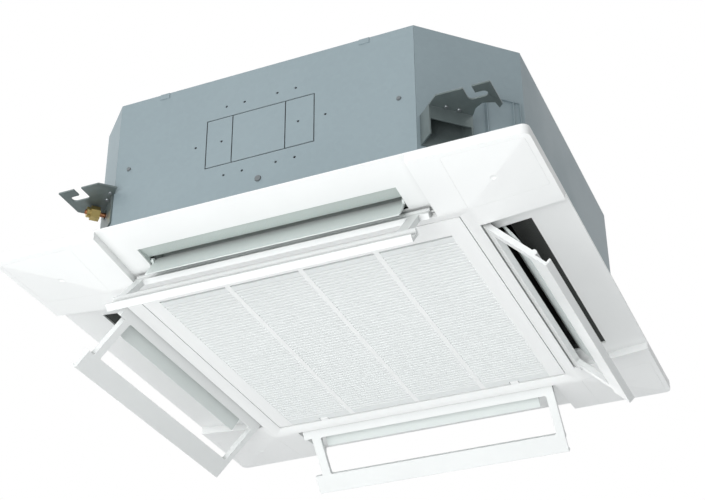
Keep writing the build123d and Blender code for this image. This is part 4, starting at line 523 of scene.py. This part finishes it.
FINISHES = {
    "casing_steel": Finish(
        "casing_zinc_sheet",
        colour=(0.290, 0.361, 0.390),
        shade=(0.268, 0.335, 0.363),
        roughness=0.50,
        metallic=0.15,
        surface=Surface.ZINC,
        grain=900,
        bump=0.02,
        blotch=5,
        blotch_amount=0.45,
    ),
    "bracket_steel": Finish(
        "bracket_zinc_sheet",
        colour=(0.165, 0.200, 0.200),
        shade=(0.120, 0.150, 0.150),
        roughness=0.42,
        metallic=0.45,
        surface=Surface.ZINC,
        grain=900,
        bump=0.05,
        blotch=22,
        blotch_amount=0.7,
    ),
    "screw_steel": Finish(
        "screw_steel",
        colour=(0.20, 0.22, 0.23),
        shade=(0.14, 0.155, 0.16),
        roughness=0.42,
        metallic=0.6,
        surface=Surface.TURNED,
        grain=2400,
        bump=0.05,
    ),
    "panel_white": Finish(
        "panel_white",
        colour=(0.89, 0.905, 0.90),
        shade=(0.86, 0.875, 0.87),
        roughness=0.38,
        dust_and_shade=0.35,
        bump=0.03,
        coat=0.1,
    ),
    # A darker copy of the white with strong corner darkening, for the draught frames: painted shade.
    "frame_white": Finish(
        "frame_white",
        colour=(0.77, 0.79, 0.785),
        shade=(0.73, 0.75, 0.745),
        roughness=0.40,
        dust_and_shade=0.9,
        bump=0.03,
        coat=0.1,
    ),
    # Grey of the grille's slotted bays, darker than its white ribs: painted shade of the slots.
    "grille_grey": Finish(
        "grille_grey",
        colour=(0.80, 0.83, 0.825),
        shade=(0.78, 0.81, 0.805),
        roughness=0.46,
        surface=Surface.SLATS,
        dust_and_shade=0.08,
        bump=0.03,
    ),
    # The white louvers are tinted a darker green-grey than the panel: painted shade.
    "louver_white": Finish(
        "louver_white",
        colour=(0.68, 0.73, 0.715),
        shade=(0.64, 0.69, 0.675),
        roughness=0.36,
        dust_and_shade=0.2,
        bump=0.03,
        coat=0.1,
    ),
    "duct_foam": Finish(
        "duct_foam",
        colour=(0.60, 0.66, 0.64),
        shade=(0.54, 0.59, 0.57),
        roughness=0.72,
        surface=Surface.DUCT,
        bump=0.2,
    ),
    "liner_foam": Finish(
        "liner_foam",
        colour=(0.02, 0.02, 0.02),
        shade=(0.012, 0.012, 0.012),
        roughness=0.85,
        surface=Surface.FOAM,
        bump=0.5,
    ),
    "gasket_foam": Finish(
        "gasket_foam",
        colour=(0.035, 0.035, 0.035),
        shade=(0.02, 0.02, 0.02),
        roughness=0.9,
        surface=Surface.FOAM,
        bump=0.5,
    ),
    "fin_aluminium": Finish(
        "coil_fins",
        colour=(0.60, 0.64, 0.68),
        shade=(0.45, 0.50, 0.55),
        roughness=0.38,
        metallic=0.8,
        surface=Surface.FINS,
        grain=900,
        bump=0.6,
    ),
    "copper": Finish(
        "copper_tube",
        colour=(0.62, 0.27, 0.14),
        shade=(0.38, 0.15, 0.08),
        roughness=0.32,
        metallic=1.0,
        surface=Surface.TURNED,
        grain=1800,
        bump=0.05,
        blotch=30,
        blotch_amount=0.6,
    ),
    "brass": Finish(
        "flare_brass",
        colour=(0.44, 0.34, 0.13),
        shade=(0.32, 0.24, 0.09),
        roughness=0.36,
        metallic=0.8,
        surface=Surface.TURNED,
        grain=2200,
        bump=0.08,
        blotch=60,
        blotch_amount=0.5,
    ),
    "fan_plastic": Finish(
        "fan_plastic",
        colour=(0.035, 0.038, 0.04),
        shade=(0.025, 0.027, 0.03),
        roughness=0.5,
        bump=0.08,
    ),
    "bell_plastic": Finish(
        "bell_plastic",
        colour=(0.06, 0.065, 0.07),
        shade=(0.045, 0.05, 0.055),
        roughness=0.55,
        bump=0.1,
    ),
    "motor_black": Finish(
        "motor_paint",
        colour=(0.018, 0.018, 0.02),
        shade=(0.012, 0.012, 0.014),
        roughness=0.35,
        metallic=0.2,
        bump=0.1,
        coat=0.3,
    ),
    "bush_rubber": Finish(
        "bush_rubber",
        colour=(0.012, 0.012, 0.012),
        shade=(0.02, 0.02, 0.02),
        roughness=0.75,
        bump=0.1,
    ),
    "shaft_steel": Finish(
        "ground_steel",
        colour=(0.58, 0.59, 0.60),
        shade=(0.42, 0.43, 0.44),
        roughness=0.22,
        metallic=1.0,
        surface=Surface.TURNED,
        grain=2600,
        bump=0.04,
    ),
    "pump_plastic": Finish(
        "pump_plastic",
        colour=(0.68, 0.68, 0.65),
        shade=(0.60, 0.60, 0.57),
        roughness=0.32,
        bump=0.04,
    ),
    "drain_plastic": Finish(
        "drain_plastic",
        colour=(0.50, 0.51, 0.50),
        shade=(0.42, 0.43, 0.42),
        roughness=0.5,
        bump=0.08,
    ),
    "float_plastic": Finish(
        "float_plastic",
        colour=(0.80, 0.80, 0.77),
        shade=(0.72, 0.72, 0.69),
        roughness=0.6,
        surface=Surface.FOAM,
        bump=0.1,
    ),
    "board_green": Finish(
        "circuit_board",
        colour=(0.012, 0.10, 0.045),
        shade=(0.02, 0.14, 0.06),
        roughness=0.35,
        bump=0.1,
        blotch=60,
    ),
    "terminal_plastic": Finish(
        "terminal_plastic",
        colour=(0.02, 0.02, 0.022),
        shade=(0.03, 0.03, 0.032),
        roughness=0.45,
        bump=0.06,
    ),
    "gear_motor": Finish(
        "gear_motor",
        colour=(0.32, 0.33, 0.34),
        shade=(0.26, 0.27, 0.28),
        roughness=0.45,
        bump=0.06,
    ),
    "filter_mesh": Finish(
        "filter_mesh",
        colour=(0.42, 0.44, 0.45),
        shade=(0.36, 0.38, 0.39),
        roughness=0.6,
        surface=Surface.MESH,
        bump=0.4,
    ),
}


# --- Modelling helpers ----------------------------------------------------------------------


class Bench:
    """Modelling operators as short calls, from and back to object mode."""

    SMOOTH_UNDER = math.radians(35.0)
    BEVEL_OVER = math.radians(30.0)
    MERGE_WITHIN = 1e-6
    FLATNESS = 100

    @staticmethod
    def only(piece: bpy.types.Object) -> None:
        """Select one object and make it active.

        Args:
            piece: the object.
        """
        bpy.ops.object.select_all(action="DESELECT")
        piece.select_set(True)
        bpy.context.view_layer.objects.active = piece

    @staticmethod
    def finish(piece: bpy.types.Object) -> None:
        """Apply every modifier and the transform, smooth by angle, and keep flat faces flat.

        Args:
            piece: the object.
        """
        Bench.only(piece)
        for modifier in list(piece.modifiers):
            bpy.ops.object.modifier_apply(modifier=modifier.name)
        bpy.ops.object.transform_apply(location=True, rotation=True, scale=True)
        bpy.ops.object.shade_smooth_by_angle(angle=Bench.SMOOTH_UNDER)
        weighted = piece.modifiers.new("flat", "WEIGHTED_NORMAL")
        weighted.mode = "FACE_AREA"
        weighted.weight = Bench.FLATNESS
        weighted.keep_sharp = True
        bpy.ops.object.modifier_apply(modifier=weighted.name)
        bpy.ops.object.select_all(action="DESELECT")

    @staticmethod
    def bevel(piece: bpy.types.Object, width: float, segments: int) -> None:
        """Add a bevel modifier on the sharp edges.

        Args:
            piece: the object.
            width: bevel width in metres.
            segments: bevel segments.
        """
        bevel = piece.modifiers.new("edge", "BEVEL")
        bevel.width = width
        bevel.segments = segments
        bevel.limit_method = "ANGLE"
        bevel.angle_limit = Bench.BEVEL_OVER
        bevel.miter_outer = "MITER_ARC"

    @staticmethod
    def soft_copy(node: str, name: str, width: float, segments: int) -> bpy.types.Object:
        """Copy a CAD node, merge it and round its edges.

        Args:
            node: the CAD node.
            name: the new piece's name.
            width: bevel width in metres.
            segments: bevel segments.

        Returns:
            The new piece, which replaces the node.
        """
        mesh = frame["nodes"][node].data.copy()
        mesh.name = name
        piece = bpy.data.objects.new(name, mesh)
        bpy.context.collection.objects.link(piece)
        Bench.only(piece)
        bpy.ops.object.mode_set(mode="EDIT")
        bpy.ops.mesh.select_all(action="SELECT")
        bpy.ops.mesh.remove_doubles(threshold=Bench.MERGE_WITHIN)
        bpy.ops.object.mode_set(mode="OBJECT")
        Bench.bevel(piece, width, segments)
        Bench.finish(piece)
        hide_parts(node)
        return piece


@dataclass(frozen=True)
class Edge:
    """How a moulded or folded edge is rounded."""

    width: float
    segments: int = 2


class Dresser:
    """Gives pieces and CAD nodes their finishes and bodies."""

    def __init__(self) -> None:
        """Build every finish and read which body and slot each node has."""
        effects = Effects()
        self.materials = {slot: finish.build(effects) for slot, finish in FINISHES.items()}
        record = frame["record"]
        self.slots = {part["node"]: part["material_slot"] for part in record["subparts"]}
        bodies = record["behaviour"]["bodies"]
        self.bodies = {node: body for body, nodes in bodies.items() for node in nodes}

    def soften(self, node: str, edge: Edge, finish: str = "") -> None:
        """Replace a CAD node by a copy with rounded edges, dressed and moving as the node does.

        Args:
            node: the CAD node.
            edge: how its edges are rounded.
            finish: a finish of its own, or empty for the slot's.
        """
        slot, body = self.slots[node], self.bodies[node]
        piece = Bench.soft_copy(node, f"{node}_soft", edge.width, edge.segments)
        piece.data.materials.clear()
        piece.data.materials.append(self.materials[finish or slot])
        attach(piece, body)
        log.info("%s rides on %s", piece.name, body)

    def paint_nodes(self) -> None:
        """Give every CAD node its material, shown or not."""
        for node, piece in frame["nodes"].items():
            piece.data.materials.clear()
            piece.data.materials.append(self.materials[self.slots[node]])


# --- Sub-assemblies -------------------------------------------------------------------------


@dataclass(frozen=True)
class Casing:
    """Roof, service plate and brackets; the wall stays as the construction has it."""

    sheet: Edge = Edge(0.45 * MM)
    bracket: Edge = Edge(0.35 * MM)

    def build(self, dresser: Dresser) -> None:
        """Round the edges of the sheet pieces.

        Args:
            dresser: the finishes.
        """
        for node in ("casing_top", "service_plate"):
            dresser.soften(node, self.sheet)
        for corner in CORNERS:
            dresser.soften(f"hanger_bracket_{corner}", self.bracket)


@dataclass(frozen=True)
class Panel:
    """White panel with its covers, louvers, draught frames and intake grille."""

    rim: Edge = Edge(1.2 * MM, 3)
    cover: Edge = Edge(0.5 * MM)
    draft_frame: Edge = Edge(1.0 * MM, 3)
    louver: Edge = Edge(0.5 * MM, 3)
    grille: Edge = Edge(0.5 * MM)

    def build(self, dresser: Dresser) -> None:
        """Round the edges of the moulded pieces.

        Args:
            dresser: the finishes.
        """
        dresser.soften("panel_frame", self.rim)
        for corner in CORNERS:
            dresser.soften(f"corner_cover_{corner}", self.cover)
        for side in SIDES:
            # The draught frames take the darker frame white: painted shade.
            dresser.soften(f"draft_frame_{side}", self.draft_frame, "frame_white")
            dresser.soften(f"louver_{side}", self.louver)
        dresser.soften("intake_grille", self.grille)


# --- Studio ---------------------------------------------------------------------------------


@dataclass(frozen=True)
class Lamp:
    """One square soft box that faces the unit."""

    name: str
    place: tuple[float, float, float]
    size: float
    power: float


LAMPS = (
    Lamp("key", (0.2, -3.0, -1.1), 1.6, 54.0),
    Lamp("under", (-0.3, -0.9, -1.3), 2.4, 12.0),
    Lamp("side", (-3.0, -2.4, 1.2), 2.2, 22.0),
    Lamp("top", (-0.9, 0.5, 3.2), 3.0, 95.0),
    Lamp("rear", (-2.4, 3.0, 1.4), 2.4, 45.0),
)


@dataclass(frozen=True)
class Studio:
    """Camera, lamps, world and floor."""

    eye: tuple[float, float, float] = (0.68577, -1.63833, -0.97840)
    right: tuple[float, float, float] = (0.919431, 0.393217, -0.005197)
    down: tuple[float, float, float] = (-0.210792, 0.481636, -0.850643)
    look: tuple[float, float, float] = (-0.331984, 0.783203, 0.525718)
    focal_px: float = 1483.57
    picture_px: float = 705.0
    sensor: float = 36.0
    clip_end: float = 60.0
    aim: tuple[float, float, float] = (0.0, 0.0, 0.05)
    sky: Colour = (0.95, 0.98, 1.0)
    sky_strength: float = 0.33
    backdrop: Colour = (1.0, 1.0, 1.0)
    floor_z: float = -2.4
    floor_half: float = 30.0
    floor_colour: Colour = (0.86, 0.86, 0.86)
    floor_roughness: float = 0.8

    def build(self) -> None:
        """Make the camera, the lamps, the world and the floor."""
        self._camera()
        for lamp in LAMPS:
            self._lamp(lamp)
        self._world()
        self._floor()
        bpy.context.scene.view_settings.view_transform = "Standard"

    def _camera(self) -> None:
        """Place the camera where the photograph was taken from."""
        data = bpy.data.cameras.new("photo_camera")
        data.sensor_width = self.sensor
        data.lens = self.focal_px * self.sensor / self.picture_px
        data.clip_end = self.clip_end
        camera = bpy.data.objects.new("photo_camera", data)
        bpy.context.collection.objects.link(camera)
        rows = [Vector(self.right), -Vector(self.down), -Vector(self.look)]
        turn = Matrix(rows).transposed().to_4x4()
        camera.matrix_world = Matrix.Translation(Vector(self.eye)) @ turn
        bpy.context.scene.camera = camera

    def _lamp(self, lamp: Lamp) -> None:
        """Add a soft box.

        Args:
            lamp: its place, size and power.
        """
        data = bpy.data.lights.new(lamp.name, "AREA")
        data.size = lamp.size
        data.energy = lamp.power
        box = bpy.data.objects.new(lamp.name, data)
        box.location = lamp.place
        box.rotation_euler = (Vector(self.aim) - Vector(lamp.place)).to_track_quat("-Z", "Y").to_euler()
        bpy.context.collection.objects.link(box)

    def _world(self) -> None:
        """White to the eye and in reflections, dimmer as light."""
        world = bpy.data.worlds.new("studio_world")
        bpy.context.scene.world = world
        world.use_nodes = True
        graph = Graph(world.node_tree)
        path = graph.add("ShaderNodeLightPath").outputs
        seen = graph.math("MAXIMUM", path["Is Camera Ray"], path["Is Transmission Ray"])
        seen = graph.math("MAXIMUM", seen, path["Is Glossy Ray"])
        light = graph.add("ShaderNodeBackground", {"Color": self.sky, "Strength": self.sky_strength})
        white = graph.add("ShaderNodeBackground", {"Color": self.backdrop, "Strength": 1.0})
        shader = graph.add("ShaderNodeMixShader", {0: seen, 1: light.outputs[0], 2: white.outputs[0]})
        graph.add("ShaderNodeOutputWorld", {0: shader.outputs[0]})

    def _floor(self) -> None:
        """Pale floor below the unit."""
        bpy.ops.object.select_all(action="DESELECT")
        bpy.ops.mesh.primitive_plane_add(size=2 * self.floor_half, location=(0, 0, self.floor_z))
        floor = bpy.context.object
        floor.name = "studio_floor"
        material = bpy.data.materials.new("studio_floor")
        material.use_nodes = True
        graph = Graph(material.node_tree)
        inputs = {"Base Color": self.floor_colour, "Roughness": self.floor_roughness}
        shader = graph.add("ShaderNodeBsdfPrincipled", inputs)
        graph.add("ShaderNodeOutputMaterial", {0: shader.outputs[0]})
        floor.data.materials.append(material)


def main() -> None:
    """Dress the unit, sub-assembly by sub-assembly, and set the studio."""
    logging.basicConfig(level=logging.INFO, format="%(name)s: %(message)s")
    dresser = Dresser()
    dresser.paint_nodes()
    Casing().build(dresser)
    Panel().build(dresser)
    Studio().build()


if __name__ == "__main__":
    main()
